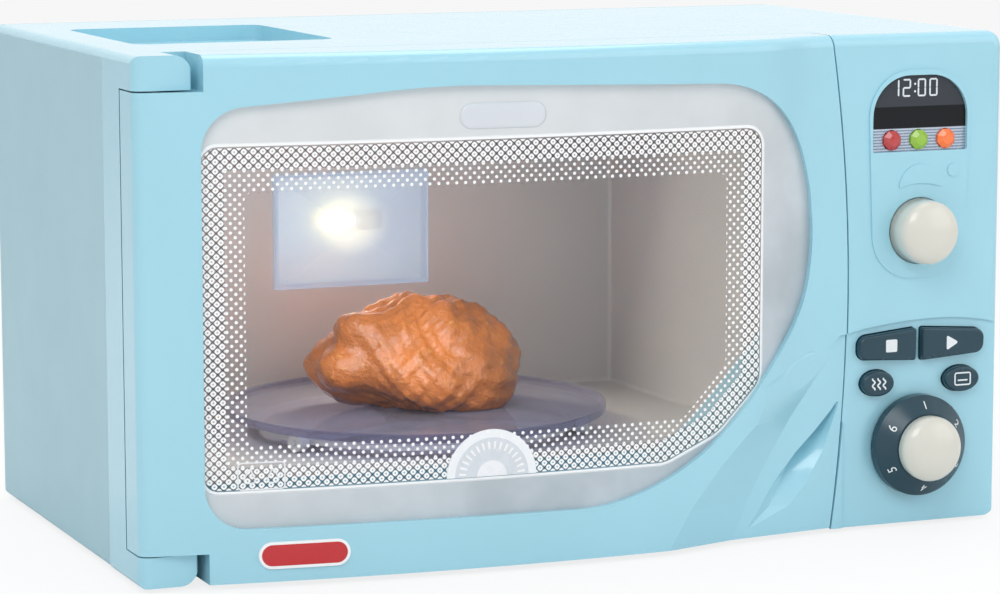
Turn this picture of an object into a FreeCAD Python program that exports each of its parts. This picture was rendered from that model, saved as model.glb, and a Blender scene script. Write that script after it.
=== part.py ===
import FreeCAD
import Part

import math
import os

os.makedirs("parts", exist_ok=True)
Vector = FreeCAD.Vector

# Case: +X to the right, the front faces -Y, the origin is at the middle of the footprint
case_width = 330.0
case_height = 180.0
case_depth = 183.5
knob_reach = 17.5
foot_height = 1.5
foot_radius = 8.0
foot_inset = 22.0
wall = 2.5
seam_step = 0.4
edge_round = 4.0
corner_round = 5.5
base_left_round = 2.0
base_right_round = 5.0
small_round = 0.8
overrun = 6.0
touch_gap = 0.3
shaft_gap = 0.05

half_width = case_width / 2
panel_y = knob_reach - (case_depth + knob_reach) / 2
rear_y = panel_y + case_depth
bottom_z = foot_height
top_z = foot_height + case_height
door_seat_depth = 17.0
fascia_depth = 37.5
fascia_y = panel_y + door_seat_depth
shell_y = panel_y + fascia_depth
shell_x = half_width - seam_step
cover_y = rear_y - wall
middle_z = bottom_z + case_height / 2
far_y = rear_y + overrun
inner_x = shell_x - wall
floor_z = bottom_z + wall
lid_seam = 3.0
lid_round_share = 0.9
lid_z = top_z - lid_seam

# Front bow: one long arc, then a short fall back to the panel
bow_stand = 14.2
bow_peak_x = -8.0
bow_end_inset = 13.0
fall_width = 46.8
fall_angle = math.radians(28.3)
bow_half_span = half_width - bow_end_inset
clear_y = panel_y - bow_stand - overrun

# Door
door_gap = 0.6
door_back_gap = 0.4
door_lift = 0.5
door_skin = 2.5
door_edge_from_side = 63.2
door_edge_top_lean = 7.6
door_edge_bottom_lean = 6.2
door_swing_clear = 0.7
door_z = bottom_z + door_lift
door_back_y = fascia_y - door_back_gap
bottom_round = 1.5
door_edge_x = half_width - door_edge_from_side
door_edge_top_x = door_edge_x - door_edge_top_lean
door_edge_bottom_x = door_edge_x - door_edge_bottom_lean
fall_start_x = door_edge_x - fall_width

# Hinge lugs and pins
lug_width = 20.2
lug_top_height = 11.7
lug_bottom_height = 10.7
lug_gap = 0.5
lug_corner_round = 6.2
lug_front_inset = 0.8
notch_width = 23.1
pin_from_side = 9.5
pin_from_front = 8.5
pin_radius = 1.6
pin_grip = 17.0
pin_cap = 2.0
barrel_radius = 6.3
notch_x = notch_width - half_width
notch_low_z = bottom_z + lug_bottom_height + lug_gap
notch_high_z = top_z - lug_top_height - lug_gap
pin_x = pin_from_side - half_width
pin_y = panel_y + pin_from_front

# Window
window_from_side = 21.8
window_from_bottom = 18.3
window_from_top = 12.3
window_to_edge = 14.9
window_shares = [
    (0.0, 0.006, 0.105), (0.608, 0.0, 0.13), (0.77, 0.0475, 0.838), (0.985, 0.427, 0.522),
    (1.001, 0.59, 0.416), (0.993, 0.723, 0.22), (0.946, 0.979, 0.758), (0.36, 1.003, 0.179),
    (0.001, 0.957, 0.168),
]
lens_thick = 2.2
lens_overlap = 3.0
window_to_screw = 7.0
screw_edge = 3.5
door_screw_shares = (0.2, 0.83)
crest_share = 0.4594
crest_from_top = 22.9
crest_width = 31.6
crest_height = 9.0
crest_stand = 0.7
collar_wall = 2.0
collar_inset = 1.2
inner_frame_thick = 2.4
window_left = window_from_side - half_width
window_bottom = bottom_z + window_from_bottom
window_width = door_edge_x - window_to_edge - window_left
window_height = top_z - window_from_top - window_bottom
crest_x = window_left + crest_share * window_width
crest_z = top_z - crest_from_top

# Swept line across the lower right, with the lower face behind it
sweep_height = 71.5
sweep_width = 79.8
sweep_shares = [
    (-0.05, 0.01, 0.37), (0.2, 0.14, 0.47), (0.4, 0.29, 0.58), (0.6, 0.48, 0.7),
    (0.78, 0.67, 0.83), (0.92, 0.86, 0.94), (1.0, 0.97, 1.0),
]
sweep_deep = 6.3
sweep_deep_inset = 23.0
sweep_step = 1.0
panel_sweep_shares = [(0.0, 0.0), (0.15, 0.46), (0.42, 0.93), (0.66, 0.93), (1.0, -0.13)]
panel_sweep_rise = 4.2
sweep_left_x = door_edge_x - sweep_width
sweep_deep_x = sweep_left_x + sweep_deep_inset

# Finger scoop beside the swept line
scoop_to_edge = 2.3
scoop_width = 39.5
scoop_from_bottom = 4.5
scoop_height = 42.5
scoop_deep = 8.5
scoop_shares = [
    (0.0, 0.01, 0.06, 0.04), (0.15, 0.13, 0.46, 0.16), (0.35, 0.27, 0.66, 0.45),
    (0.6, 0.52, 0.82, 0.95), (0.78, 0.74, 0.9, 0.95), (0.92, 0.89, 0.96, 0.5), (1.0, 0.965, 0.99, 0.08),
]
scoop_floor_share = 0.35
scoop_left_x = door_edge_x - scoop_to_edge - scoop_width
scoop_bottom_z = bottom_z + scoop_from_bottom

# Oven liner
liner_wall = 2.0
liner_flange = 4.0
liner_from_side = 20.0
liner_to_edge = 15.8
liner_draft = 4.5
liner_from_floor = 28.5
liner_from_top = 17.5
liner_from_rear = 19.5
liner_front_left = liner_from_side - half_width
liner_front_right = door_edge_x - liner_to_edge
liner_front_y = fascia_y + wall
liner_back_y = rear_y - liner_from_rear
liner_floor_z = floor_z + liner_from_floor
liner_height = top_z - liner_from_top - liner_floor_z

# Lamp in the back wall
lamp_shift = 1.0
lamp_rise_share = 0.5095
lamp_width = 60.0
lamp_height = 41.0
lamp_rim = 1.8
lamp_plate = 1.2
lamp_facet_height = 1.8
lamp_facet_share = 0.2
reflector_depth = 11.0
reflector_wall = 1.2
reflector_margin = 1.5
bulb_lift = 2.5
bulb_shift = -4.0
bulb_radius = 4.6
bulb_length = 13.5
bulb_base_radius = 2.6
bulb_base_length = 9.0
bulb_holder_radius = 4.0
bulb_holder_length = 6.0
bulb_shares = (0.12, 0.24, 0.36, 0.48, 0.6, 0.72)

# Turntable
table_shift = -1.0
plate_clear = 1.25
plate_thick = 2.0
plate_rim_height = 3.4
plate_rim_width = 2.2
roller_radius = 3.4
roller_width = 5.0
roller_gap = 0.15
roller_count = 3
roller_turn = 207.0
ring_inset = 12.5
ring_width = 3.6
ring_thick = 1.8
ring_spoke = 5.0
hub_wall = 3.0
roller_axle_radius = 0.9
roller_side_gap = 0.4
socket_radius = 8.2
socket_depth = 3.6
drive_hex_radius = 5.6
drive_gap = 0.25
spindle_radius = 4.0
bush_wall = 2.4
bush_flange_radius = 9.0
bush_flange_thick = 0.7
table_x = (liner_front_left + liner_front_right) / 2 + table_shift
table_y = (liner_front_y + liner_back_y) / 2
plate_radius = (liner_back_y - liner_front_y) / 2 - plate_clear
ring_radius = plate_radius - ring_inset
lamp_x = table_x + lamp_shift
lamp_z = liner_floor_z + lamp_rise_share * liner_height
bulb_x = lamp_x + bulb_shift
bulb_z = lamp_z + bulb_lift
plate_z = liner_floor_z + 2 * (roller_radius + roller_gap)
plate_top_z = plate_z + plate_thick
roller_z = liner_floor_z + roller_gap + roller_radius

# Roast chicken for play
food_length = 90.0
food_depth = 58.0
food_height = 51.5
food_turn = -8.0
food_base_share = 0.12

# Gears: module, pressure angle and play shared by both trains
gear_module = 1.0
pressure_angle = math.radians(25.0)
addendum_share = 0.8
dedendum_share = 1.1
tooth_play = 0.2
flank_points = 4
drive_teeth = 48
idler_small_teeth = 12
idler_large_teeth = 36
pinion_teeth = 12
gear_face = 5.0
idler_length = 7.0
idler_z = 10.0
motor_radius = 12.0
motor_height = 10.0
motor_shaft_radius = 1.0
axle_radius = 1.5
gearbox_wall = 1.6
gearbox_floor = 1.5
gearbox_lid_thick = 2.0
gearbox_height = 24.0
gearbox_margin = 2.2
gearbox_top_z = floor_z + gearbox_height
gearbox_seat_z = gearbox_top_z - gearbox_lid_thick
boss_radius = 6.5
boss_height = 3.5

# Control panel
control_from_side = 34.5
display_width = 38.8
display_from_top = 15.1
display_height = 27.7
display_round = 15.0
display_sink = 0.8
display_thick = 1.5
display_flange = 1.0
control_x = half_width - control_from_side
display_left = control_x - display_width / 2
display_right = control_x + display_width / 2
display_top_z = top_z - display_from_top
display_bottom_z = display_top_z - display_height
strip_height = 8.4
strip_back = 1.9
led_pitch = 11.05
led_radius = 3.7
led_reach = 2.2
led_sides = 8
led_table_share = 0.55
rib_pitch = 1.04
rib_depth = 0.35
pad_stand = 0.6
pad_margin = 2.0
pad_below_timer = 17.2
pad_bottom_width = 37.0
pad_bottom_round = 16.0
dot_shift = 13.8
dot_lift = 5.9
dot_radius = 2.4
crescent_above = 1.3
crescent_radius = 8.5
crescent_drop = 23.4
crescent_bite_share = 2.94
emboss_stand = 0.45

timer_share = 0.6011
timer_radius = 11.9
timer_reach = 12.8
timer_shoulder_radius = 11.6
timer_shoulder = 7.5
timer_set_in = 0.5
sink_depth = 1.2
sink_gap = 0.4
knob_gap = 0.5
knob_shaft_radius = 3.0
knob_boss_wall = 3.0
knob_boss_length = 3.6
timer_teeth = 18
disc_teeth = 41
disc_radius = 26.0
disc_thick = 1.5
disc_front_y = panel_y + 6.5
timer_gear_face = 3.8
timer_gear_y = disc_front_y + disc_thick + 0.2 * gear_module
mech_y = panel_y + 21.0
mech_thick = 2.0
mech_to_left = 25.0
mech_to_right = 29.0
mech_from_top = 8.5
mech_over_board = 7.0

dial_share = 0.1633
dial_radius = 18.6
dial_edge = 4.2
dial_cone_radius = 12.6
dial_cone_height = 9.3
cap_radius = 12.0
cap_widest = 12.0
cap_base_share = 0.99
dome_steps = 14

stop_to_left = 24.3
stop_share = 0.3369
stop_width = 23.4
stop_height = 11.9
stop_shares = [(0.0, 0.1, 0.14), (0.99, 0.0, 0.035), (1.0, 1.0, 0.035), (0.0, 0.81, 0.16)]
start_to_right = 1.6
start_share = 0.3356
start_width = 25.9
start_height = 12.1
start_shares = [(0.0, 0.0, 0.035), (0.98, 0.14, 0.14), (1.0, 0.85, 0.14), (0.0, 1.0, 0.035)]
grill_to_left = 16.45
grill_share = 0.2936
grill_width = 12.9
oven_to_right = 18.3
oven_share = 0.2919
oven_width = 14.25
oval_height = 9.4
button_stand = 2.2
button_round = 0.9
button_gap = 0.35
button_flange = 0.2
button_flange_thick = 1.2
button_stem_radius = 2.0
button_travel = 1.5
board_y = panel_y + 17.0
board_thick = 1.6
board_from_floor = 9.0
board_over_stop = 9.1
switch_size = 6.0
switch_height = 3.5
plunger_radius = 1.7
rotary_size = 17.0
rotary_height = 7.0
post_radius = 2.5
post_inset = 3.5

dial_z = bottom_z + dial_share * case_height
timer_z = bottom_z + timer_share * case_height
pad_bottom_z = timer_z - pad_below_timer
crescent_z = (timer_z + display_bottom_z) / 2 + crescent_above
dot_x = control_x + dot_shift
dot_z = crescent_z + dot_lift
stop_left = control_x - stop_to_left
stop_bottom = bottom_z + stop_share * case_height
start_left = control_x + start_to_right
start_bottom = bottom_z + start_share * case_height
grill_x = control_x - grill_to_left
grill_z = bottom_z + grill_share * case_height
oven_x = control_x + oven_to_right
oven_z = bottom_z + oven_share * case_height
board_bottom = floor_z + board_from_floor
board_top = stop_bottom + stop_height + board_over_stop
mech_left = control_x - mech_to_left
mech_right = control_x + mech_to_right
mech_bottom = board_top + mech_over_board
mech_top = top_z - mech_from_top

# Door catch
hook_to_edge = 6.8
hook_thick = 2.6
hook_height = 8.0
hook_reach = 10.0
hook_slot_near = 0.8
hook_slot_far = 1.6
hook_base_width = 7.0
hook_x = door_edge_x - hook_to_edge
hook_left_x = hook_x - hook_thick / 2
hook_right_x = hook_x + hook_thick / 2
hook_low_z = middle_z - hook_height / 2
hook_high_z = middle_z + hook_height / 2
catch_leaf = 1.0
catch_length = 9.0

# Rear cover, battery bay and speaker
rear_lip = 1.6
screw_head_radius = 3.0
screw_head_height = 1.2
screw_shank_radius = 1.4
screw_shank = 8.0
screw_sink_gap = 0.2
screw_slot_share = 0.22
rear_screw_inset = 12.0
rear_screw_share = 0.6
bay_from_side = 35.5
bay_width = 59.0
bay_from_bottom = 18.5
bay_height = 48.0
bay_depth = 16.0
bay_wall = 1.5
bay_ledge = 3.0
bay_x = half_width - bay_from_side
bay_bottom = bottom_z + bay_from_bottom
bay_left = bay_x - bay_width / 2
bay_right = bay_x + bay_width / 2
bay_top = bay_bottom + bay_height
bay_door_thick = 1.4
bay_boss_radius = 4.5
bay_boss_height = 1.0
bay_door_gap = 0.3
bay_tab = 9.0
contact_thick = 0.5
contact_width = 9.0
contact_coil = 3.5
contact_tip_share = 0.45
cell_count = 3
speaker_from_side = 37.0
speaker_share = 0.6861
speaker_radius = 25.0
speaker_rim = 2.0
speaker_cone_radius = 21.0
speaker_depth = 12.0
speaker_magnet_radius = 11.0
vent_count = 9
vent_pitch = 6.0
vent_width = 2.4
vent_length = 44.0
vent_x = -60.0
vent_share = 0.6583
grille_pitch_share = 0.8
speaker_x = half_width - speaker_from_side
speaker_z = bottom_z + speaker_share * case_height
vent_z = bottom_z + vent_share * case_height

# Top recess
recess_from_side = 17.0
recess_from_seam = 17.5
recess_from_rear = 38.0
recess_width = 74.0
recess_depth = 5.5
recess_round = 6.0
recess_shelf = 0.8
recess_shelf_share = 0.62
recess_left = recess_from_side - half_width
recess_right = recess_left + recess_width
recess_front = shell_y + recess_from_seam
recess_back = cover_y - recess_from_rear
recess_floor_z = top_z - recess_depth

# Badge and half-disc label on the door
badge_from_side = 55.4
badge_from_bottom = 9.75
badge_width = 31.6
badge_height = 9.3
badge_stand = 0.7
label_share = 0.4398
label_radius = 16.4
label_over_window = 13.9
label_stand = 0.4
badge_x = badge_from_side - half_width
badge_z = bottom_z + badge_from_bottom
label_x = window_left + label_share * window_width
label_bottom_z = window_bottom + label_over_window


def box(x0, x1, y0, y1, z0, z1):
    return Part.makeBox(x1 - x0, y1 - y0, z1 - z0, Vector(x0, y0, z0))


def along_y(x, z, y0, y1, radius):
    return Part.makeCylinder(radius, y1 - y0, Vector(x, y0, z), Vector(0, 1, 0))


def along_z(x, y, z0, z1, radius):
    return Part.makeCylinder(radius, z1 - z0, Vector(x, y, z0))


def joined(first, *others):
    shape = first.fuse(list(others)) if others else first
    return shape.removeSplitter()


def rounded_points(corners):
    """Straight runs joined by tangent arcs: corners are (u, v, radius)."""
    runs = []
    count = len(corners)
    for i in range(count):
        u, v, radius = corners[i]
        here = Vector(u, v, 0)
        before = Vector(corners[i - 1][0], corners[i - 1][1], 0)
        after = Vector(corners[(i + 1) % count][0], corners[(i + 1) % count][1], 0)
        inward = (here - before).normalize()
        onward = (after - here).normalize()
        turn = inward.getAngle(onward)
        if radius == 0:
            runs.append((here, None, here))
            continue
        reach = radius * math.tan(turn / 2)
        bisector = (onward - inward).normalize()
        middle = here + bisector * (radius / math.cos(turn / 2) - radius)
        runs.append((here - inward * reach, middle, here + onward * reach))
    return runs


def rounded_wire(corners, flat):
    """Closed wire of a rounded outline; flat turns (u, v) into a place in space."""
    runs = rounded_points(corners)
    edges = []
    for i, (start, middle, end) in enumerate(runs):
        if middle is not None:
            edges.append(Part.Arc(flat(start), flat(middle), flat(end)).toShape())
        following = runs[(i + 1) % len(runs)][0]
        if end.distanceToPoint(following) > case_width / 1e6:
            edges.append(Part.LineSegment(flat(end), flat(following)).toShape())
    return Part.Wire(edges)


def front_flat(point):
    return Vector(point.x, 0, point.y)


def plan_flat(point):
    return Vector(point.x, point.y, 0)


def front_wire(corners, offset=0):
    wire = rounded_wire(corners, front_flat)
    return wire.makeOffset2D(offset) if offset else wire


def wire_prism(wire, y0, y1):
    solid = Part.Face(wire).extrude(Vector(0, y1 - y0, 0))
    solid.translate(Vector(0, y0, 0))
    return solid


def front_prism(corners, y0, y1, offset=0):
    return wire_prism(front_wire(corners, offset), y0, y1)


def plan_prism(corners, z0, z1):
    solid = Part.Face(rounded_wire(corners, plan_flat)).extrude(Vector(0, 0, z1 - z0))
    solid.translate(Vector(0, 0, z0))
    return solid


def rectangle(x0, x1, z0, z1, radius):
    return [(x0, z0, radius), (x1, z0, radius), (x1, z1, radius), (x0, z1, radius)]


def oval_prism(x, z, width, height, y0, y1, grow=0):
    """Prism of an oval that lies across the front."""
    side = Vector(x + width / 2 + grow, 0, z)
    above = Vector(x, 0, z + height / 2 + grow)
    curve = Part.Ellipse(side, above, Vector(x, 0, z))
    return wire_prism(Part.Wire([curve.toShape()]), y0, y1)


def turned(profile, x, y, z, axis):
    """Solid of revolution: profile is (radius, distance along the axis), from the axis and back to it."""
    points = [Vector(radius, 0, far) for radius, far in profile]
    points.append(points[0])
    solid = Part.Face(Part.makePolygon(points)).revolve(Vector(0, 0, 0), Vector(0, 0, 1), 360)
    if axis == "-y":
        solid.rotate(Vector(0, 0, 0), Vector(1, 0, 0), 90)
    if axis == "+x":
        solid.rotate(Vector(0, 0, 0), Vector(0, 1, 0), 90)
    solid.translate(Vector(x, y, z))
    return solid


def dome_profile(radius, start, height, steps):
    """Quarter ellipse from the rim at start to the axis at start + height."""
    return [
        (radius * math.cos(math.pi / 2 * i / steps), start + height * math.sin(math.pi / 2 * i / steps))
        for i in range(steps + 1)
    ]


def edges_where(shape, test):
    return [edge for edge in shape.Edges if test(edge)]


def middle_of(edge):
    first, last = edge.ParameterRange
    return edge.valueAt((first + last) / 2)


def screw(x, y, z, direction, shank=screw_shank):
    """Pan-head screw whose head's underside is at the given place, shank pointing along direction."""
    place = Vector(x, y, z)
    crown = place - direction * screw_head_height
    head = Part.makeCylinder(screw_head_radius, screw_head_height, crown, direction)
    rim = edges_where(head, lambda edge: len(edge.Vertexes) == 1)
    rim = [edge for edge in rim if edge.CenterOfMass.isEqual(crown, small_round / 2)]
    head = head.makeFillet(screw_head_height / 3, rim)
    body = Part.makeCylinder(screw_shank_radius, shank, place, direction)
    half_slot = screw_head_radius * screw_slot_share / 2
    slot = box(-screw_head_radius / 2, screw_head_radius / 2, -half_slot, half_slot, 0, screw_head_height)
    cross = slot.fuse(slot.rotated(Vector(0, 0, 0), Vector(0, 0, 1), 90))
    turn = FreeCAD.Rotation(Vector(0, 0, 1), direction)
    cross.Placement = FreeCAD.Placement(crown - direction * screw_head_height / 2, turn)
    return head.fuse(body).cut(cross)


# Bow of the front, in plan
bow_radius = (bow_half_span ** 2 + bow_stand ** 2) / (2 * bow_stand)
bow_centre_y = panel_y - bow_stand + bow_radius
fall_start = math.asin((fall_start_x - bow_peak_x) / bow_radius)
fall_drop = panel_y - (bow_centre_y - bow_radius * math.cos(fall_start))
fall_radius = fall_drop / (math.cos(fall_start) + 1 - 2 * math.cos(fall_angle))
fall_centre = Vector(
    fall_start_x - fall_radius * math.sin(fall_start),
    bow_centre_y - (bow_radius - fall_radius) * math.cos(fall_start), 0)
rise_centre = fall_centre + Vector(math.sin(fall_angle), -math.cos(fall_angle), 0) * 2 * fall_radius


def on_arc(centre, radius, angle):
    return centre + Vector(math.sin(angle), -math.cos(angle), 0) * radius


def bow_face(depth, x0, x1, y_back):
    """Plan of everything behind the bowed front, set back by depth."""
    bow_centre = Vector(bow_peak_x, bow_centre_y, 0)
    long_radius = bow_radius - depth
    first = math.asin((x0 - bow_peak_x) / long_radius)
    short_radius = fall_radius - depth
    back_radius = -(fall_radius + depth)
    runs = [
        (bow_centre, long_radius, first, fall_start),
        (fall_centre, short_radius, fall_start, fall_angle),
        (rise_centre, back_radius, fall_angle, 0),
    ]
    edges = []
    for centre, radius, a, b in runs:
        edges.append(Part.Arc(on_arc(centre, radius, a), on_arc(centre, radius, (a + b) / 2),
                              on_arc(centre, radius, b)).toShape())
    start = on_arc(bow_centre, long_radius, first)
    end = on_arc(rise_centre, back_radius, 0)
    corners = [end, Vector(x1, end.y, 0), Vector(x1, y_back, 0), Vector(x0, y_back, 0), start]
    for a, b in zip(corners, corners[1:]):
        edges.append(Part.LineSegment(a, b).toShape())
    return Part.Face(Part.Wire(edges))


def bow_solid(depth, x0, x1, y_back, z0, z1):
    solid = bow_face(depth, x0, x1, y_back).extrude(Vector(0, 0, z1 - z0))
    solid.translate(Vector(0, 0, z0))
    return solid


def bow_sheet(depth, thick):
    """Slab between two depths behind the bowed front, the full size of the door."""
    span = (-half_width, half_width)
    outer = bow_solid(depth, span[0], span[1], fascia_y, 0, top_z)
    return outer.cut(bow_solid(depth + thick, span[0], span[1], fascia_y, 0, top_z))


def window_corners():
    """Window outline: each corner's arc leaves its two sides at a share of the shorter one."""
    places = [Vector(window_left + u * window_width, window_bottom + v * window_height, 0)
              for u, v, share in window_shares]
    corners = []
    for i, here in enumerate(places):
        before = here - places[i - 1]
        after = places[(i + 1) % len(places)] - here
        reach = window_shares[i][2] * min(before.Length, after.Length)
        corners.append((here.x, here.y, reach / math.tan(before.getAngle(after) / 2)))
    return corners


def door_edge_arc(shift):
    """Bulging right edge of the door, from its bottom to its top."""
    return Part.Arc(
        Vector(door_edge_bottom_x + shift, 0, bottom_z),
        Vector(door_edge_x + shift, 0, middle_z),
        Vector(door_edge_top_x + shift, 0, top_z),
    )


def beside_edge(shift, far_x, y0, y1):
    """Prism between the door's edge, moved across by shift, and a far side."""
    arc = door_edge_arc(shift)
    bottom, top = arc.StartPoint, arc.EndPoint
    over = Vector(0, 0, overrun)
    ends = [top, top + over, Vector(far_x, 0, top_z + overrun), Vector(far_x, 0, bottom_z - overrun),
            bottom - over, bottom]
    edges = [arc.toShape()] + [Part.LineSegment(a, b).toShape() for a, b in zip(ends, ends[1:])]
    return wire_prism(Part.Wire(Part.__sortEdges__(edges)), y0, y1)


def door_wire(inset):
    """Outline of the door from the front, notched for the two hinge lugs and drawn in all round."""
    left = -half_width
    arc = door_edge_arc(0)
    cut_low = arc.toShape().common(box(0, case_width, -wall, wall, door_z, top_z))
    edge = cut_low.Edges[0]
    ends = sorted([vertex.Point for vertex in edge.Vertexes], key=lambda point: point.z)
    corners = [
        ends[1], Vector(notch_x, 0, top_z), Vector(notch_x, 0, notch_high_z), Vector(left, 0, notch_high_z),
        Vector(left, 0, notch_low_z), Vector(notch_x, 0, notch_low_z), Vector(notch_x, 0, door_z), ends[0],
    ]
    edges = [edge]
    for a, b in zip(corners, corners[1:]):
        edges.append(Part.LineSegment(a, b).toShape())
    wire = Part.Wire(Part.__sortEdges__(edges))
    return wire.makeOffset2D(-inset)


def low_face_y(x):
    """Lower face behind the swept line: a plane that comes back to the panel's lower face."""
    share = (x - sweep_deep_x) / (door_edge_x - sweep_deep_x)
    return panel_y - sweep_deep + share * (sweep_deep + sweep_step)


def sweep_cutter(grow=0):
    """Takes the door's face back below the swept line; each level is a five-sided plan section."""
    sections = []
    far_x = half_width
    for level, crest, foot in sweep_shares:
        crest_at = sweep_left_x + crest * sweep_width - grow
        foot_at = sweep_left_x + foot * sweep_width - grow
        crest_y = bow_front_y(crest_at) + grow
        foot_y = low_face_y(foot_at) + grow
        lean = Vector(crest_at - foot_at, crest_y - foot_y, 0)
        lead = Vector(crest_at, crest_y, 0) + lean
        points = [
            Vector(foot_at, foot_y, 0), lead, Vector(lead.x, lead.y - bow_stand, 0),
            Vector(far_x, lead.y - bow_stand, 0), Vector(far_x, low_face_y(far_x) + grow, 0),
        ]
        z = bottom_z + level * sweep_height + (grow if level > 0.5 else 0)
        points = [Vector(point.x, point.y, z) for point in points]
        sections.append(Part.makePolygon(points + points[:1]))
    return Part.makeLoft(sections, True, True)


def bow_front_y(x):
    """Front of the bow at a place across it."""
    if x < fall_start_x:
        return bow_centre_y - math.sqrt(bow_radius ** 2 - (x - bow_peak_x) ** 2)
    fall_end_x = fall_centre.x + fall_radius * math.sin(fall_angle)
    if x < fall_end_x:
        return fall_centre.y - math.sqrt(fall_radius ** 2 - (x - fall_centre.x) ** 2)
    if x < rise_centre.x:
        return rise_centre.y + math.sqrt(fall_radius ** 2 - (x - rise_centre.x) ** 2)
    return panel_y


def scoop_cutter(grow=0):
    """Leaf-shaped finger scoop: steep on the left, sloping up to the right."""
    sections = []
    for level, left, right, deep in scoop_shares:
        left_x = scoop_left_x + left * scoop_width - grow
        right_x = scoop_left_x + right * scoop_width + grow
        floor_x = left_x + (right_x - left_x) * scoop_floor_share
        z = scoop_bottom_z + level * scoop_height + grow * (2 * level - 1)
        floor_y = low_face_y(floor_x) + deep * scoop_deep + grow
        points = [
            Vector(left_x, low_face_y(left_x) - overrun, z), Vector(left_x, low_face_y(left_x), z),
            Vector(floor_x, floor_y, z), Vector(right_x, low_face_y(right_x), z),
            Vector(right_x, low_face_y(right_x) - overrun, z),
        ]
        sections.append(Part.makePolygon(points + points[:1]))
    return Part.makeLoft(sections, True, True)


def door_frame():
    body = bow_solid(0, -half_width, half_width, door_back_y, door_z, top_z)
    body = body.cut(beside_edge(0, half_width + overrun, clear_y, door_back_y + overrun))
    front_edges = edges_where(body, lambda edge: middle_of(edge).y < door_back_y - pin_from_front
                              and middle_of(edge).z > top_z - small_round)
    side_edge = edges_where(body, lambda edge: abs(middle_of(edge).x + half_width) < small_round
                            and middle_of(edge).y < panel_y + door_seat_depth / 4)
    corner = [edge for edge in side_edge if edge.Length > case_height / 2]
    body = body.makeFillet(edge_round, front_edges + corner)
    for z0, z1 in ((bottom_z - overrun, notch_low_z), (notch_high_z, top_z + overrun)):
        body = body.cut(box(-half_width - overrun, notch_x, clear_y, door_back_y + overrun, z0, z1))
    body = body.cut(sweep_cutter())

    hollow = bow_solid(door_skin, -half_width, half_width, door_back_y + overrun, 0, top_z)
    hollow = hollow.common(wire_prism(door_wire(wall), panel_y - bow_stand, door_back_y + overrun))
    hollow = hollow.cut(sweep_cutter(door_skin))
    hollow = hollow.cut(scoop_cutter(door_skin))
    hollow = hollow.cut(along_z(pin_x, pin_y, 0, top_z, barrel_radius))
    body = body.cut(hollow)
    body = body.cut(scoop_cutter())

    body = body.cut(front_prism(window_corners(), clear_y, door_back_y))
    for place in door_screw_places():
        body = body.fuse(door_boss(*place))
    for x, z, side, up in door_screw_places():
        y1 = door_back_y - inner_frame_thick
        body = body.cut(along_y(x, z, y1 - screw_shank, y1, screw_shank_radius))
    low = bottom_z + lug_bottom_height
    high = top_z - lug_top_height
    for z0, z1 in ((low, low + pin_grip), (high - pin_grip, high)):
        body = body.cut(along_z(pin_x, pin_y, z0, z1, pin_radius + shaft_gap))
    return body


def window_lens():
    sheet = bow_sheet(door_skin, lens_thick)
    lens = sheet.common(front_prism(window_corners(), clear_y, fascia_y, lens_overlap))
    crest = front_prism(stadium(crest_x, crest_z, crest_width, crest_height), clear_y, door_back_y)
    crest = crest.common(bow_sheet(door_skin - crest_stand, crest_stand + lens_thick / 2))
    return joined(lens, crest)


def stadium(x, z, width, height):
    return rectangle(x - width / 2, x + width / 2, z - height / 2, z + height / 2, height / 2)


def door_inner_frame():
    """Back of the door: a plate with a collar that holds the lens from behind."""
    plate = wire_prism(door_wire(wall), door_back_y - inner_frame_thick, door_back_y)
    plate = plate.cut(along_z(pin_x, pin_y, 0, top_z, barrel_radius + touch_gap))
    plate = plate.cut(scoop_cutter(door_skin + touch_gap))
    behind = bow_solid(door_skin + lens_thick, -half_width, half_width, door_back_y, 0, top_z)
    grow = lens_overlap - collar_inset
    collar = behind.common(front_prism(window_corners(), clear_y, door_back_y, grow))
    opening = front_prism(window_corners(), clear_y, door_back_y + overrun, grow - collar_wall)
    frame = plate.fuse(collar).cut(opening)
    frame = frame.cut(box(hook_left_x, hook_right_x, door_back_y - overrun, door_back_y,
                          hook_low_z, hook_high_z))
    seat_y = door_back_y - screw_head_height - screw_sink_gap
    for x, z, side, up in door_screw_places():
        frame = frame.cut(along_y(x, z, door_back_y - overrun, door_back_y, screw_shank_radius))
        frame = frame.cut(along_y(x, z, seat_y, door_back_y, screw_head_radius + screw_sink_gap))
    return frame.removeSplitter()


def door_screw_places():
    """Across, up, and the way to the nearest wall as steps along X and Z."""
    left = window_left - window_to_screw
    low = door_z + wall + screw_edge
    high = top_z - wall - screw_edge
    lower, upper = [window_bottom + window_height * share for share in door_screw_shares]
    return [
        (left, lower, 0, 0), (left, upper, 0, 0), (bow_peak_x, high, 0, 1), (bow_peak_x, low, 0, -1),
        (hook_x - 2 * hook_base_width, high, 0, 1), (hook_x - hook_thick, upper, 1, 0),
    ]


def door_boss(x, z, side, up):
    """Boss for a screw, webbed to the wall it stands beside."""
    y1 = door_back_y - inner_frame_thick
    y0 = y1 - screw_shank - small_round
    boss = along_y(x, z, y0, y1, screw_head_radius)
    if side or up:
        far_x = x + side * (screw_edge + wall / 2)
        far_z = z + up * (screw_edge + wall / 2)
        half_x = 0 if side else screw_head_radius
        half_z = 0 if up else screw_head_radius
        boss = boss.fuse(box(min(x, far_x) - half_x, max(x, far_x) + half_x, y0, y1,
                             min(z, far_z) - half_z, max(z, far_z) + half_z))
    return boss


def door_screws():
    seat_y = door_back_y - screw_head_height - screw_sink_gap
    return [screw(x, seat_y, z, Vector(0, -1, 0)) for x, z, side, up in door_screw_places()]


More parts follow.
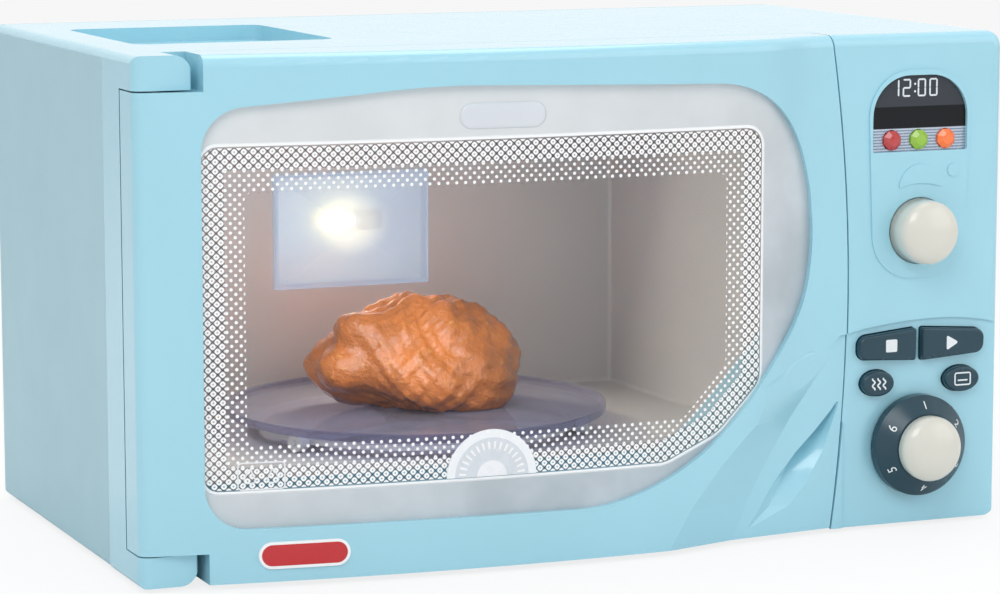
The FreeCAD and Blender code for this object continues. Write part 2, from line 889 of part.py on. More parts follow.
def latch_hook():
    """Prong behind the door's free edge, with a nub at its tip."""
    back = door_back_y - inner_frame_thick
    tip_y = door_back_y + hook_reach
    half = hook_base_width / 2
    base = box(hook_x - half, hook_x + half, back - wall, back, hook_low_z - wall, hook_high_z + wall)
    prong = box(hook_left_x, hook_right_x, back, tip_y, hook_low_z, hook_high_z)
    tip_edges = edges_where(prong, lambda edge: middle_of(edge).y > tip_y - small_round / 4)
    return joined(base, prong.makeFillet(hook_thick / 3, tip_edges))


def hook_passage(y0, y1):
    return box(hook_left_x - hook_slot_near, hook_right_x + hook_slot_far, y0, y1,
               hook_low_z - hook_slot_near, hook_high_z + hook_slot_near)


def badge_plate():
    """Bare pill on the door's lower left, lying on the bow."""
    pill = front_prism(stadium(badge_x, badge_z, badge_width, badge_height), clear_y, door_back_y)
    return pill.common(bow_sheet(-badge_stand, badge_stand))


def window_label():
    """Half disc that stands on the lower edge of the clear pane."""
    disc = along_y(label_x, label_bottom_z, clear_y, door_back_y, label_radius)
    half = box(label_x - label_radius, label_x + label_radius, clear_y, door_back_y,
               label_bottom_z, label_bottom_z + label_radius)
    return disc.common(half).common(bow_sheet(door_skin - label_stand, label_stand))


def lug(z0, z1, round_top):
    """Hinge lug of the fascia, rounded at its free corner."""
    left = -half_width
    right = left + lug_width
    radii = (0, lug_corner_round) if round_top else (lug_corner_round, 0)
    outline = [(left, z0, 0), (right, z0, radii[0]), (right, z1, radii[1]), (left, z1, 0)]
    front_y = panel_y + lug_front_inset
    block = front_prism(outline, front_y, fascia_y + wall)
    plan = [(left, front_y, edge_round), (right, front_y, small_round), (right, fascia_y + wall, 0),
            (left, fascia_y + wall, 0)]
    return block.common(plan_prism(plan, z0 - overrun, z1 + overrun))


def panel_block(x_extra, y0, y1, z0, z1, right):
    """Everything right of the door's edge."""
    block = box(0, right, y0, y1, z0, z1)
    return block.cut(beside_edge(x_extra, -overrun, y0 - overrun, y1 + overrun))


def panel_sweep():
    """Lower face of the panel, a small step back below the swept line."""
    width = half_width - door_edge_x + overrun
    base = bottom_z + sweep_height
    start_x = door_edge_x - 2 * door_gap
    points = [Vector(start_x + u * width, 0, base + v * panel_sweep_rise) for u, v in panel_sweep_shares]
    curve = Part.BSplineCurve()
    curve.interpolate(points)
    low = bottom_z - overrun
    ends = [points[-1], Vector(points[-1].x, 0, low), Vector(points[0].x, 0, low), points[0]]
    edges = [curve.toShape()] + [Part.LineSegment(a, b).toShape() for a, b in zip(ends, ends[1:])]
    return wire_prism(Part.Wire(edges), panel_y - overrun, panel_y + sweep_step)


def display_corners():
    return [
        (display_left, display_bottom_z, small_round), (display_right, display_bottom_z, small_round),
        (display_right, display_top_z, display_round), (display_left, display_top_z, display_round),
    ]


def pad_corners():
    wide = display_width / 2 + pad_margin
    narrow = pad_bottom_width / 2
    z1 = display_top_z + pad_margin
    top_round = display_round + pad_margin
    low_left = (control_x - narrow, pad_bottom_z, pad_bottom_round)
    low_right = (control_x + narrow, pad_bottom_z, pad_bottom_round)
    return [low_left, low_right, (control_x + wide, z1, top_round), (control_x - wide, z1, top_round)]


def shares_outline(shares, left, bottom, width, height):
    return [(left + u * width, bottom + v * height, r * width) for u, v, r in shares]


def stop_corners():
    return shares_outline(stop_shares, stop_left, stop_bottom, stop_width, stop_height)


def start_corners():
    return shares_outline(start_shares, start_left, start_bottom, start_width, start_height)


def button_shape(name, y0, y1, grow):
    """Prism of one button's outline, grown all round."""
    if name == "stop":
        return front_prism(stop_corners(), y0, y1, grow)
    if name == "start":
        return front_prism(start_corners(), y0, y1, grow)
    if name == "grill":
        return oval_prism(grill_x, grill_z, grill_width, oval_height, y0, y1, grow)
    return oval_prism(oven_x, oven_z, oven_width, oval_height, y0, y1, grow)


button_places = {
    "stop": (stop_left + stop_width * 0.55, stop_bottom + stop_height / 2),
    "start": (start_left + start_width * 0.45, start_bottom + start_height / 2),
    "grill": (grill_x, grill_z),
    "oven": (oven_x, oven_z),
}


def board_posts():
    x0 = mech_left + post_inset
    x1 = mech_right - post_inset
    return [(x, z) for x in (x0, x1) for z in (board_bottom + post_inset, board_top - post_inset)]


def mech_posts():
    x0 = mech_left + post_inset
    x1 = mech_right - post_inset
    return [(x, z) for x in (x0, x1) for z in (mech_bottom + post_inset, mech_top - post_inset)]


def crescent():
    """Raised crescent between the display and the timer."""
    front = panel_y - pad_stand - emboss_stand
    outer = along_y(control_x, crescent_z, front, panel_y, crescent_radius)
    bite_z = crescent_z - crescent_drop
    bite_radius = crescent_radius * crescent_bite_share
    return outer.cut(along_y(control_x, bite_z, front - emboss_stand, panel_y, bite_radius))


def case_corners(half, left_round=base_left_round, right_round=base_right_round, over=0):
    """Outline of the case from the front; with over, only its two lower corners are rounded."""
    rounds = (0, 0) if over else (corner_round, lid_seam * lid_round_share)
    return [(-half, bottom_z, left_round), (half, bottom_z, right_round), (half, top_z + over, rounds[0]),
            (-half, top_z + over, rounds[1])]


def front_fascia():
    """Panel, strip round the door and hinge lugs in one moulding."""
    left = -half_width
    slab = box(left, half_width, fascia_y, shell_y, bottom_z, top_z)
    panel = panel_block(door_gap, panel_y, shell_y, bottom_z, top_z, half_width)
    low_lug = lug(bottom_z, bottom_z + lug_bottom_height, False)
    high_lug = lug(top_z - lug_top_height, top_z, True)
    body = slab.fuse([panel, low_lug, high_lug]).removeSplitter()
    body = body.common(front_prism(case_corners(half_width, 0, 0), clear_y, shell_y))

    right_front = edges_where(body, lambda edge: abs(middle_of(edge).x - half_width) < small_round
                              and abs(middle_of(edge).y - panel_y) < small_round)
    top_front = edges_where(body, lambda edge: abs(middle_of(edge).z - top_z) < small_round
                            and abs(middle_of(edge).y - panel_y) < small_round
                            and middle_of(edge).x > control_x - display_width)
    body = body.makeFillet(edge_round, right_front + top_front)
    base = base_left_round, base_right_round
    body = body.common(front_prism(case_corners(half_width, *base, over=overrun), clear_y, shell_y))

    right = half_width - wall
    back = shell_y + overrun
    hollow = box(left + wall, right, fascia_y + wall, back, floor_z, top_z - wall)
    hollow = hollow.cut(along_z(pin_x, pin_y, 0, top_z, pin_sweep_radius() + wall))
    hollow = hollow.fuse(panel_block(door_gap + wall, panel_y + wall, back, floor_z, top_z - wall, right))
    body = body.cut(hollow)
    body = body.cut(panel_sweep())
    pad_y = panel_y - pad_stand
    body = body.fuse(front_prism(pad_corners(), pad_y, panel_y + wall / 2))
    body = body.cut(along_y(control_x, timer_z, pad_y - overrun, pad_y + sink_depth, timer_radius + sink_gap))
    dot = along_y(dot_x, dot_z, panel_y - pad_stand - emboss_stand, panel_y, dot_radius)
    body = body.fuse([crescent(), dot])

    cove = along_z(pin_x, pin_y, bottom_z + lug_bottom_height, top_z - lug_top_height, pin_sweep_radius())
    body = body.cut(cove)
    opening = box(liner_front_left, liner_front_right, fascia_y - overrun, fascia_y + wall,
                  liner_floor_z, liner_floor_z + liner_height)
    body = body.cut(opening)
    body = body.cut(hook_passage(fascia_y - overrun, fascia_y + wall))
    body = body.cut(front_prism(display_corners(), panel_y - overrun, panel_y + wall))
    for name in button_places:
        body = body.cut(button_shape(name, panel_y - overrun, panel_y + wall, button_gap))
    for z in (timer_z, dial_z):
        boss = along_y(control_x, z, panel_y + wall / 2, panel_y + wall + knob_boss_length,
                       knob_shaft_radius + knob_boss_wall)
        body = body.fuse(boss)
        body = body.cut(along_y(control_x, z, panel_y - overrun, shell_y, knob_shaft_radius + shaft_gap))
    for x, z in board_posts():
        body = body.fuse(along_y(x, z, panel_y + wall / 2, board_y, post_radius))
    for x, z in mech_posts():
        body = body.fuse(along_y(x, z, panel_y + wall / 2, mech_y, post_radius))
    for x, z in board_posts():
        body = body.cut(along_y(x, z, board_y - screw_shank, board_y, screw_shank_radius))
    for x, z in mech_posts():
        body = body.cut(along_y(x, z, mech_y - screw_shank, mech_y, screw_shank_radius))
    for z0, z1 in hinge_pin_spans():
        body = body.cut(along_z(pin_x, pin_y, z0, z1, pin_radius))
    return body.removeSplitter()


def pin_sweep_radius():
    """Room behind the hinge side of the door, for its back corner to turn in."""
    return math.hypot(pin_from_side, door_seat_depth - pin_from_front) + door_swing_clear / 2


def hinge_pin_spans():
    low = bottom_z + lug_bottom_height + pin_grip - touch_gap
    high = top_z - lug_top_height - pin_grip + touch_gap
    return [(bottom_z + pin_cap, low), (high, top_z - pin_cap)]


def hinge_pins():
    return [along_z(pin_x, pin_y, z0, z1, pin_radius) for z0, z1 in hinge_pin_spans()]


def door_catch():
    """Two spring leaves behind the fascia, either side of the hook's passage."""
    y0 = fascia_y + wall
    y1 = y0 + catch_length
    x0 = hook_left_x - hook_slot_near - 2 * catch_leaf
    x1 = hook_right_x + hook_slot_far + 2 * catch_leaf
    foot = box(x0, x1, y0, y0 + catch_leaf, hook_low_z - wall, hook_high_z + wall)
    near = box(x0, x0 + catch_leaf, y0, y1, hook_low_z, hook_high_z)
    far = box(x1 - catch_leaf, x1, y0, y1, hook_low_z, hook_high_z)
    bridge = box(x0, x1, y1, y1 + catch_leaf, hook_low_z, hook_high_z)
    return joined(foot, near, far, bridge).cut(hook_passage(fascia_y, y1))


def main_housing():
    """Left side, floor and right side of the case, in one U-shaped moulding."""
    body = front_prism(case_corners(shell_x), shell_y, cover_y)
    body = body.common(box(-half_width, half_width, shell_y, cover_y, 0, lid_z))
    inner = [(-inner_x, floor_z, edge_round - wall), (inner_x, floor_z, edge_round - wall),
             (inner_x, lid_z + overrun, 0), (-inner_x, lid_z + overrun, 0)]
    return body.cut(front_prism(inner, shell_y - overrun, cover_y + overrun))


def top_cover():
    """Top of the case with its shallow recess and a lip inside the sides."""
    body = front_prism(case_corners(shell_x), shell_y, cover_y)
    body = body.common(box(-half_width, half_width, shell_y, cover_y, lid_z, top_z))
    rim_x = inner_x - lid_seam
    body = body.cut(box(-rim_x, rim_x, shell_y - overrun, cover_y + overrun, lid_z, top_z - wall))
    lip_x = inner_x - touch_gap
    for side in (-1, 1):
        lip = box(min(side * lip_x, side * (lip_x - wall)), max(side * lip_x, side * (lip_x - wall)),
                  shell_y + wall, cover_y - wall, lid_z - wall, lid_z + small_round)
        body = body.fuse(lip)
    rim = rectangle(recess_left - wall, recess_right + wall, recess_front - wall, recess_back + wall,
                    recess_round + wall)
    tub = plan_prism(rim, recess_floor_z - wall, top_z - wall / 2)
    inside = rectangle(recess_left, recess_right, recess_front, recess_back, recess_round)
    hole = plan_prism(inside, recess_floor_z, top_z + overrun)
    body = body.fuse(tub).cut(hole)
    shelf_z = recess_floor_z + recess_shelf
    shelf = box(recess_left, recess_right, recess_front, recess_back, recess_floor_z, shelf_z)
    bite_radius = recess_width * recess_shelf_share
    bite = along_z((recess_left + recess_right) / 2, recess_back, recess_floor_z, shelf_z, bite_radius)
    body = body.fuse(shelf.cut(bite).common(hole))
    return body.removeSplitter()


def rear_screw_places():
    x = shell_x - rear_screw_inset
    z0 = bottom_z + rear_screw_inset
    z1 = top_z - rear_screw_inset
    middle = z0 + (z1 - z0) * rear_screw_share
    return [(side * x, z) for side in (-1, 1) for z in (z0, middle, z1)]


def rear_cover():
    plate = front_prism(case_corners(shell_x), cover_y, rear_y)
    rim = edges_where(plate, lambda edge: middle_of(edge).y > rear_y - small_round / 2)
    plate = plate.makeFillet(small_round, rim)
    lip = front_prism(rectangle(-inner_x + touch_gap, inner_x - touch_gap, floor_z + touch_gap,
                                lid_z - wall - touch_gap, small_round), cover_y - wall, cover_y)
    lip = lip.cut(front_prism(rectangle(-inner_x + wall, inner_x - wall, floor_z + wall,
                                        lid_z - 2 * wall, small_round), cover_y - overrun, cover_y))
    body = plate.fuse(lip)
    for x, z in rear_screw_places():
        body = body.fuse(along_y(x, z, cover_y - screw_shank, cover_y, screw_head_radius))
    for x, z in rear_screw_places():
        body = body.cut(along_y(x, z, cover_y - 2 * screw_shank, far_y, screw_shank_radius))
        body = body.cut(along_y(x, z, rear_y - screw_head_height - screw_sink_gap, far_y,
                                screw_head_radius + screw_sink_gap))
    for column in (0, 1):
        for i in range(vent_count):
            z = vent_z + (i - (vent_count - 1) / 2) * vent_pitch
            x = vent_x + column * (vent_length + vent_pitch)
            body = body.cut(front_prism(stadium(x, z, vent_length, vent_width), cover_y - wall, far_y))
    for i in range(vent_count):
        up = (i - (vent_count - 1) / 2) * vent_pitch * grille_pitch_share
        width = 2 * math.sqrt(speaker_cone_radius ** 2 - up ** 2)
        slot = stadium(speaker_x, speaker_z + up, width, vent_width)
        body = body.cut(front_prism(slot, cover_y - wall, far_y))
    rebate_y = rear_y - bay_door_thick - bay_door_gap
    body = body.cut(front_prism(bay_door_corners(bay_door_gap), rebate_y, far_y))
    body = body.cut(box(bay_left + bay_ledge, bay_right - bay_ledge, cover_y - overrun, rear_y,
                        bay_bottom + bay_ledge, bay_top - bay_ledge))
    x, z = bay_screw_place()
    body = body.cut(along_y(x, z, cover_y - wall, rear_y, bay_boss_radius + bay_door_gap))
    return body.removeSplitter()


def bay_door_corners(grow):
    top = bay_top + bay_tab + grow
    return rectangle(bay_left - grow, bay_right + grow, bay_bottom - grow, top, edge_round + grow)


def bay_screw_place():
    return bay_x, bay_top + bay_tab / 2


def cell_pitch():
    return (bay_height - 2 * bay_wall) / cell_count


def battery_box():
    """Open box behind the rear cover, for three small cells side by side."""
    x0 = bay_left + bay_wall
    x1 = bay_right - bay_wall
    y0 = cover_y - bay_depth
    body = box(bay_left, bay_right, y0, cover_y, bay_bottom, bay_top)
    body = body.cut(box(x0, x1, y0 + bay_wall, cover_y, bay_bottom + bay_wall, bay_top - bay_wall))
    for i in range(1, cell_count):
        z = bay_bottom + bay_wall + i * cell_pitch()
        body = body.fuse(box(x0, x1, y0, y0 + bay_depth / 4, z - bay_wall / 3, z + bay_wall / 3))
    x, z = bay_screw_place()
    radius = screw_head_radius
    boss = along_y(x, z, cover_y - screw_shank, cover_y, radius)
    boss = boss.fuse(box(x - radius, x + radius, cover_y - screw_shank, cover_y, bay_top - bay_wall, z))
    body = body.fuse(boss)
    body = body.cut(along_y(x, z, cover_y - screw_shank, cover_y, screw_shank_radius + shaft_gap))
    return body.removeSplitter()


def battery_contacts():
    """Plate at each end of each cell, and a coil on one of them."""
    y = cover_y - bay_depth / 2
    shapes = []
    for i in range(cell_count):
        z = bay_bottom + bay_wall + (i + 0.5) * cell_pitch()
        for side in (-1, 1):
            face = bay_x + side * (bay_width / 2 - bay_wall)
            inner = face - side * contact_thick
            plate = box(min(face, inner), max(face, inner), y - contact_width / 2, y + contact_width / 2,
                        z - contact_width / 2, z + contact_width / 2)
            if side == (1 if i % 2 else -1):
                coil = Part.makeCone(contact_coil, contact_coil * contact_tip_share, contact_coil,
                                     Vector(inner, y, z), Vector(-side, 0, 0))
                plate = plate.fuse(coil)
            shapes.append(plate)
    return shapes


def battery_door():
    y0 = rear_y - bay_door_thick
    plate = front_prism(bay_door_corners(0), y0, rear_y)
    rim = edges_where(plate, lambda edge: middle_of(edge).y > rear_y - small_round / 2)
    plate = plate.makeFillet(small_round / 2, rim)
    for i in range(4):
        z = bay_bottom + bay_height / 3 + i * small_round * 3
        plate = plate.cut(box(bay_x - contact_width, bay_x + contact_width, rear_y - small_round / 2, far_y,
                              z, z + small_round))
    x, z = bay_screw_place()
    plate = plate.fuse(along_y(x, z, y0 - bay_boss_height, rear_y - small_round, bay_boss_radius))
    plate = plate.cut(along_y(x, z, y0 - wall, rear_y, screw_shank_radius))
    seat_y = rear_y - screw_head_height - screw_sink_gap
    plate = plate.cut(along_y(x, z, seat_y, rear_y, screw_head_radius + screw_sink_gap))
    return plate


def battery_door_screw():
    x, z = bay_screw_place()
    return screw(x, rear_y - screw_head_height - screw_sink_gap, z, Vector(0, -1, 0))


def speaker():
    """Frame, cone and magnet as one bought-in unit, seated on the rear cover."""
    profile = [
        (0, speaker_rim), (speaker_magnet_radius * 0.6, speaker_rim), (speaker_cone_radius, 0),
        (speaker_radius, 0), (speaker_radius, speaker_rim), (speaker_cone_radius, speaker_rim * 1.6),
        (speaker_magnet_radius, speaker_depth * 0.55), (speaker_magnet_radius, speaker_depth),
        (0, speaker_depth),
    ]
    return turned(profile, speaker_x, cover_y, speaker_z, "-y")


def liner_rectangle(y, front, grow):
    """Corners of the oven's inside at the front or the back, grown by a wall."""
    shift = 0 if front else liner_draft
    x0 = liner_front_left + shift / 2 - grow
    x1 = liner_front_right - shift + grow
    z0 = liner_floor_z - grow
    z1 = liner_floor_z + liner_height - shift / 3 + grow
    return Part.makePolygon([Vector(x0, y, z0), Vector(x1, y, z0), Vector(x1, y, z1), Vector(x0, y, z1),
                             Vector(x0, y, z0)])


def oven_liner():
    front = liner_front_y
    back = liner_back_y + liner_wall
    outer_ends = [liner_rectangle(front, True, liner_wall), liner_rectangle(back, False, liner_wall)]
    outer = Part.makeLoft(outer_ends, True, True)
    inner_ends = [liner_rectangle(front, True, 0), liner_rectangle(liner_back_y, False, 0)]
    inner = Part.makeLoft(inner_ends, True, True)
    deep_edges = edges_where(inner, lambda edge: middle_of(edge).y > front + small_round)
    inner = inner.makeFillet(bottom_round, deep_edges)
    top = liner_floor_z + liner_height + liner_flange
    flange = box(liner_front_left - liner_flange, liner_front_right + liner_flange, front, front + liner_wall,
                 liner_floor_z - liner_flange, top)
    body = outer.fuse(flange).cut(inner)
    body = body.cut(along_z(pin_x, pin_y, 0, top_z, pin_sweep_radius() + wall + touch_gap))
    body = body.cut(box(lamp_x - lamp_width / 2, lamp_x + lamp_width / 2, liner_back_y - overrun,
                        liner_back_y + liner_wall, lamp_z - lamp_height / 2, lamp_z + lamp_height / 2))
    body = body.cut(along_z(table_x, table_y, 0, liner_floor_z + wall, spindle_radius + bush_wall))
    return body.removeSplitter()


def lamp_window():
    """Clear cover with a rim, and a low pyramid of four facets."""
    half_w = lamp_width / 2
    half_h = lamp_height / 2
    y = liner_back_y
    rim = box(lamp_x - half_w - lamp_rim, lamp_x + half_w + lamp_rim, y - lamp_plate, y,
              lamp_z - half_h - lamp_rim, lamp_z + half_h + lamp_rim)
    plug = box(lamp_x - half_w, lamp_x + half_w, y, y + liner_wall, lamp_z - half_h, lamp_z + half_h)

    def facet_ring(share, at):
        w = half_w * share
        h = half_h * share
        return Part.makePolygon([Vector(lamp_x - w, at, lamp_z - h), Vector(lamp_x + w, at, lamp_z - h),
                                 Vector(lamp_x + w, at, lamp_z + h), Vector(lamp_x - w, at, lamp_z + h),
                                 Vector(lamp_x - w, at, lamp_z - h)])
    facets = Part.makeLoft([facet_ring(1, y - lamp_plate), facet_ring(lamp_facet_share,
                           y - lamp_plate - lamp_facet_height)], True, True)
    return joined(rim, plug, facets)


def reflector_span(grow):
    half_w = lamp_width / 2 + reflector_margin + grow
    half_h = lamp_height / 2 + reflector_margin + grow
    return lamp_x - half_w, lamp_x + half_w, lamp_z - half_h, lamp_z + half_h


def lamp_reflector():
    y0 = liner_back_y + liner_wall
    y1 = y0 + reflector_depth
    x0, x1, z0, z1 = reflector_span(reflector_wall)
    body = box(x0, x1, y0, y1, z0, z1)
    x0, x1, z0, z1 = reflector_span(0)
    return body.cut(box(x0, x1, y0, y1 - reflector_wall, z0, z1))


def bulb_y():
    return liner_back_y + liner_wall + (reflector_depth - reflector_wall) / 2


def lamp_bulb():
    """Small bulb lying along X: glass envelope and threaded base in one piece."""
    half = bulb_length / 2
    base = half + bulb_base_length
    turns = [math.pi * share for share in bulb_shares]
    profile = [(0, -half)] + [(bulb_radius * math.sin(turn), -half * math.cos(turn)) for turn in turns]
    profile += [(bulb_base_radius, half), (bulb_base_radius, base), (0, base)]
    return turned(profile, bulb_x, bulb_y(), bulb_z, "+x")


def bulb_holder():
    """Sleeve round the bulb's base, on a foot against the reflector's back."""
    x0 = bulb_x + bulb_length / 2 + bulb_base_length - bulb_holder_length
    x1 = x0 + bulb_holder_length + wall
    start = Vector(x0, bulb_y(), bulb_z)
    sleeve = Part.makeCylinder(bulb_holder_radius, x1 - x0, start, Vector(1, 0, 0))
    back = liner_back_y + liner_wall + reflector_depth - reflector_wall
    foot = box(x0, x1, bulb_y(), back, bulb_z - wall, bulb_z + wall)
    bore = Part.makeCylinder(bulb_base_radius, bulb_holder_length, start, Vector(1, 0, 0))
    return joined(sleeve, foot).cut(bore)


def gear(teeth, x, y, z0, z1, phase):
    """Spur gear on a Z axis: involute flanks, thinned for play; a tooth points along phase (degrees)."""
    pitch_radius = teeth * gear_module / 2
    base_radius = pitch_radius * math.cos(pressure_angle)
    tip = pitch_radius + addendum_share * gear_module
    root = pitch_radius - dedendum_share * gear_module
    half_tooth = (math.pi * gear_module / 2 - tooth_play) / 2 / pitch_radius

    def roll(radius):
        angle = math.acos(min(1, base_radius / radius))
        return math.tan(angle) - angle
    start = max(base_radius, root)
    flank = []
    for i in range(flank_points):
        radius = start + (tip - start) * i / (flank_points - 1)
        flank.append((radius, half_tooth + roll(pitch_radius) - roll(radius)))
    if root < base_radius:
        flank.insert(0, (root, flank[0][1]))
    points = []
    for i in range(teeth):
        centre = math.radians(phase) + 2 * math.pi * i / teeth
        for radius, half in flank:
            points.append(Vector(radius * math.cos(centre - half), radius * math.sin(centre - half), 0))
        for radius, half in reversed(flank):
            points.append(Vector(radius * math.cos(centre + half), radius * math.sin(centre + half), 0))
    points.append(points[0])
    solid = Part.Face(Part.makePolygon(points)).extrude(Vector(0, 0, z1 - z0))
    solid.translate(Vector(x, y, z0))
    return solid


def stood_up(shape, y, z):
    """Turns a piece built on a Z axis so that its axis runs along -Y."""
    shape.rotate(Vector(0, 0, 0), Vector(1, 0, 0), 90)
    shape.translate(Vector(0, y, z))
    return shape


idler_x = table_x + gear_module * (drive_teeth + idler_small_teeth) / 2
pinion_x = idler_x + gear_module * (idler_large_teeth + pinion_teeth) / 2
idler_top_z = idler_z + gear_face + idler_length
drive_z = idler_top_z - gear_face


def drive_gear():
    body = gear(drive_teeth, table_x, table_y, drive_z, drive_z + gear_face, 0)
    return body.cut(along_z(table_x, table_y, 0, top_z, spindle_radius))


def hexagon(radius, z0, z1):
    points = [Vector(table_x + radius * math.cos(math.radians(60 * i)),
                     table_y + radius * math.sin(math.radians(60 * i)), z0) for i in range(7)]
    return Part.Face(Part.makePolygon(points)).extrude(Vector(0, 0, z1 - z0))


def drive_spindle():
    """Shaft from the gearbox floor up through the oven floor, with a six-sided head for the plate."""
    shoulder = plate_z - socket_depth
    shaft = along_z(table_x, table_y, floor_z + gearbox_floor + touch_gap, shoulder, spindle_radius)
    head = hexagon(drive_hex_radius, shoulder, plate_z - touch_gap)
    return joined(shaft, head)


def spindle_bush():
    top = liner_floor_z + bush_flange_thick
    body = along_z(table_x, table_y, liner_floor_z - liner_wall, liner_floor_z, spindle_radius + bush_wall)
    flange = along_z(table_x, table_y, liner_floor_z, top, bush_flange_radius)
    return joined(body, flange).cut(along_z(table_x, table_y, 0, top_z, spindle_radius + shaft_gap))


def idler_gear():
    step_z = idler_z + gear_face
    large = gear(idler_large_teeth, idler_x, table_y, idler_z, step_z, 0)
    small = gear(idler_small_teeth, idler_x, table_y, step_z, idler_top_z, 180 + 180 / idler_small_teeth)
    return large.fuse(small).cut(along_z(idler_x, table_y, 0, top_z, axle_radius + shaft_gap))


def motor_pinion():
    body = gear(pinion_teeth, pinion_x, table_y, idler_z, idler_z + gear_face, 180 + 180 / pinion_teeth)
    return body.cut(along_z(pinion_x, table_y, 0, top_z, motor_shaft_radius))


def motor_shaft():
    top = gearbox_seat_z - motor_height
    return along_z(pinion_x, table_y, idler_z - small_round, top + motor_height / 2, motor_shaft_radius)


def turntable_motor():
    top = gearbox_seat_z
    body = along_z(pinion_x, table_y, top - motor_height, top, motor_radius)
    rims = edges_where(body, lambda edge: len(edge.Vertexes) == 1)
    body = body.makeFillet(small_round, rims)
    return body.cut(along_z(pinion_x, table_y, 0, top - motor_height / 2, motor_shaft_radius + shaft_gap))


def gearbox_span():
    reach = gear_module * (drive_teeth / 2 + 1) + gearbox_margin
    return table_x - reach, pinion_x + motor_radius + gearbox_margin, table_y - reach, table_y + reach


def gearbox_screw_places():
    x0, x1, y0, y1 = gearbox_span()
    inset = screw_head_radius + gearbox_wall / 2
    return [(x, y) for x in (x0 + inset, x1 - inset) for y in (y0 + inset, y1 - inset)]


def gearbox_base():
    x0, x1, y0, y1 = gearbox_span()
    top = gearbox_seat_z
    body = box(x0, x1, y0, y1, floor_z, top)
    body = body.cut(box(x0 + gearbox_wall, x1 - gearbox_wall, y0 + gearbox_wall, y1 - gearbox_wall,
                        floor_z + gearbox_floor, top))
    low = floor_z + gearbox_floor
    body = body.fuse(along_z(table_x, table_y, floor_z, low + boss_height, boss_radius))
    stop_z = idler_z - small_round
    body = body.fuse(along_z(idler_x, table_y, floor_z, stop_z, axle_radius + gearbox_wall))
    for x, y in gearbox_screw_places():
        body = body.fuse(along_z(x, y, floor_z, top, screw_head_radius))
    body = body.cut(along_z(table_x, table_y, low, top, spindle_radius + shaft_gap))
    body = body.cut(along_z(idler_x, table_y, low, top, axle_radius))
    for x, y in gearbox_screw_places():
        body = body.cut(along_z(x, y, top - screw_shank, top, screw_shank_radius))
    return body.removeSplitter()


def gearbox_lid():
    x0, x1, y0, y1 = gearbox_span()
    top = floor_z + gearbox_height
    body = box(x0, x1, y0, y1, top - gearbox_lid_thick, top)
    body = body.cut(along_z(table_x, table_y, 0, top_z, spindle_radius + shaft_gap))
    for x, y in gearbox_screw_places():
        body = body.cut(along_z(x, y, 0, top_z, screw_shank_radius))
    return body


def turntable_plate():
    """Clear plate with an upturned rim and a six-sided socket below."""
    inner = plate_radius - plate_rim_width
    profile = [
        (0, 0), (plate_radius - small_round, 0), (plate_radius, small_round),
        (plate_radius, plate_rim_height), (inner, plate_rim_height), (inner, plate_thick), (0, plate_thick),
    ]
    body = turned(profile, table_x, table_y, plate_z, "z")
    mouth = plate_z - socket_depth
    body = body.fuse(along_z(table_x, table_y, mouth, plate_z, socket_radius))
    return body.cut(hexagon(drive_hex_radius + drive_gap, mouth - overrun, plate_z)).removeSplitter()


def roller_angles():
    return [roller_turn + 360 * i / roller_count for i in range(roller_count)]


def roller_span():
    start = ring_radius + ring_width / 2 + roller_side_gap
    return start, start + roller_width


def roller_ring():
    """Ring with a hub, three spokes and a stub axle for each roller."""
    z0 = roller_z - ring_thick / 2
    z1 = roller_z + ring_thick / 2
    outer = ring_radius + ring_width / 2
    inner = ring_radius - ring_width / 2
    body = along_z(table_x, table_y, z0, z1, outer).cut(along_z(table_x, table_y, z0, z1, inner))
    hub_radius = socket_radius + touch_gap + hub_wall
    body = body.fuse(along_z(table_x, table_y, z0, z1, hub_radius))
    for angle in roller_angles():
        spoke = Part.makeBox(ring_radius, ring_spoke, ring_thick, Vector(0, -ring_spoke / 2, z0))
        axle = Part.makeCylinder(roller_axle_radius, roller_span()[1] - inner + small_round,
                                 Vector(inner, 0, roller_z), Vector(1, 0, 0))
        arm = spoke.fuse(axle)
        arm.rotate(Vector(0, 0, 0), Vector(0, 0, 1), angle)
        arm.translate(Vector(table_x, table_y, 0))
        body = body.fuse(arm)
    body = body.cut(along_z(table_x, table_y, 0, top_z, socket_radius + touch_gap))
    return body.removeSplitter()


def roller(index):
    start, end = roller_span()
    body = Part.makeCylinder(roller_radius, end - start, Vector(start, 0, roller_z), Vector(1, 0, 0))
    rims = edges_where(body, lambda edge: len(edge.Vertexes) == 1)
    body = body.makeFillet(small_round / 2, rims)
    bore = Part.makeCylinder(roller_axle_radius + shaft_gap, end, Vector(0, 0, roller_z), Vector(1, 0, 0))
    body = body.cut(bore)
    body.rotate(Vector(0, 0, 0), Vector(0, 0, 1), roller_angles()[index])
    body.translate(Vector(table_x, table_y, 0))
    return body


def lump(x, y, z, half_x, half_y, half_z, yaw=0, tilt=0):
    """Ellipsoid whose places and half sizes are shares of the play food's own size."""
    ball = Part.makeSphere(1)
    matrix = FreeCAD.Matrix()
    matrix.scale(half_x * food_length, half_y * food_depth, half_z * food_height)
    ball = ball.transformGeometry(matrix)
    ball.rotate(Vector(0, 0, 0), Vector(0, 1, 0), tilt)
    ball.rotate(Vector(0, 0, 0), Vector(0, 0, 1), yaw)
    ball.translate(Vector(x * food_length, y * food_depth, z * food_height))
    return ball


food_shares = [
    (0.04, 0.0, 0.5, 0.44, 0.40, 0.47, 0, -6), (-0.28, 0.0, 0.46, 0.22, 0.26, 0.28, 0, 14),
    (0.14, -0.30, 0.34, 0.26, 0.17, 0.25, 16, 10), (0.14, 0.30, 0.34, 0.26, 0.17, 0.25, -16, 10),
    (-0.12, -0.33, 0.46, 0.19, 0.11, 0.18, -18, -16), (-0.12, 0.33, 0.46, 0.19, 0.11, 0.18, 18, -16),
]


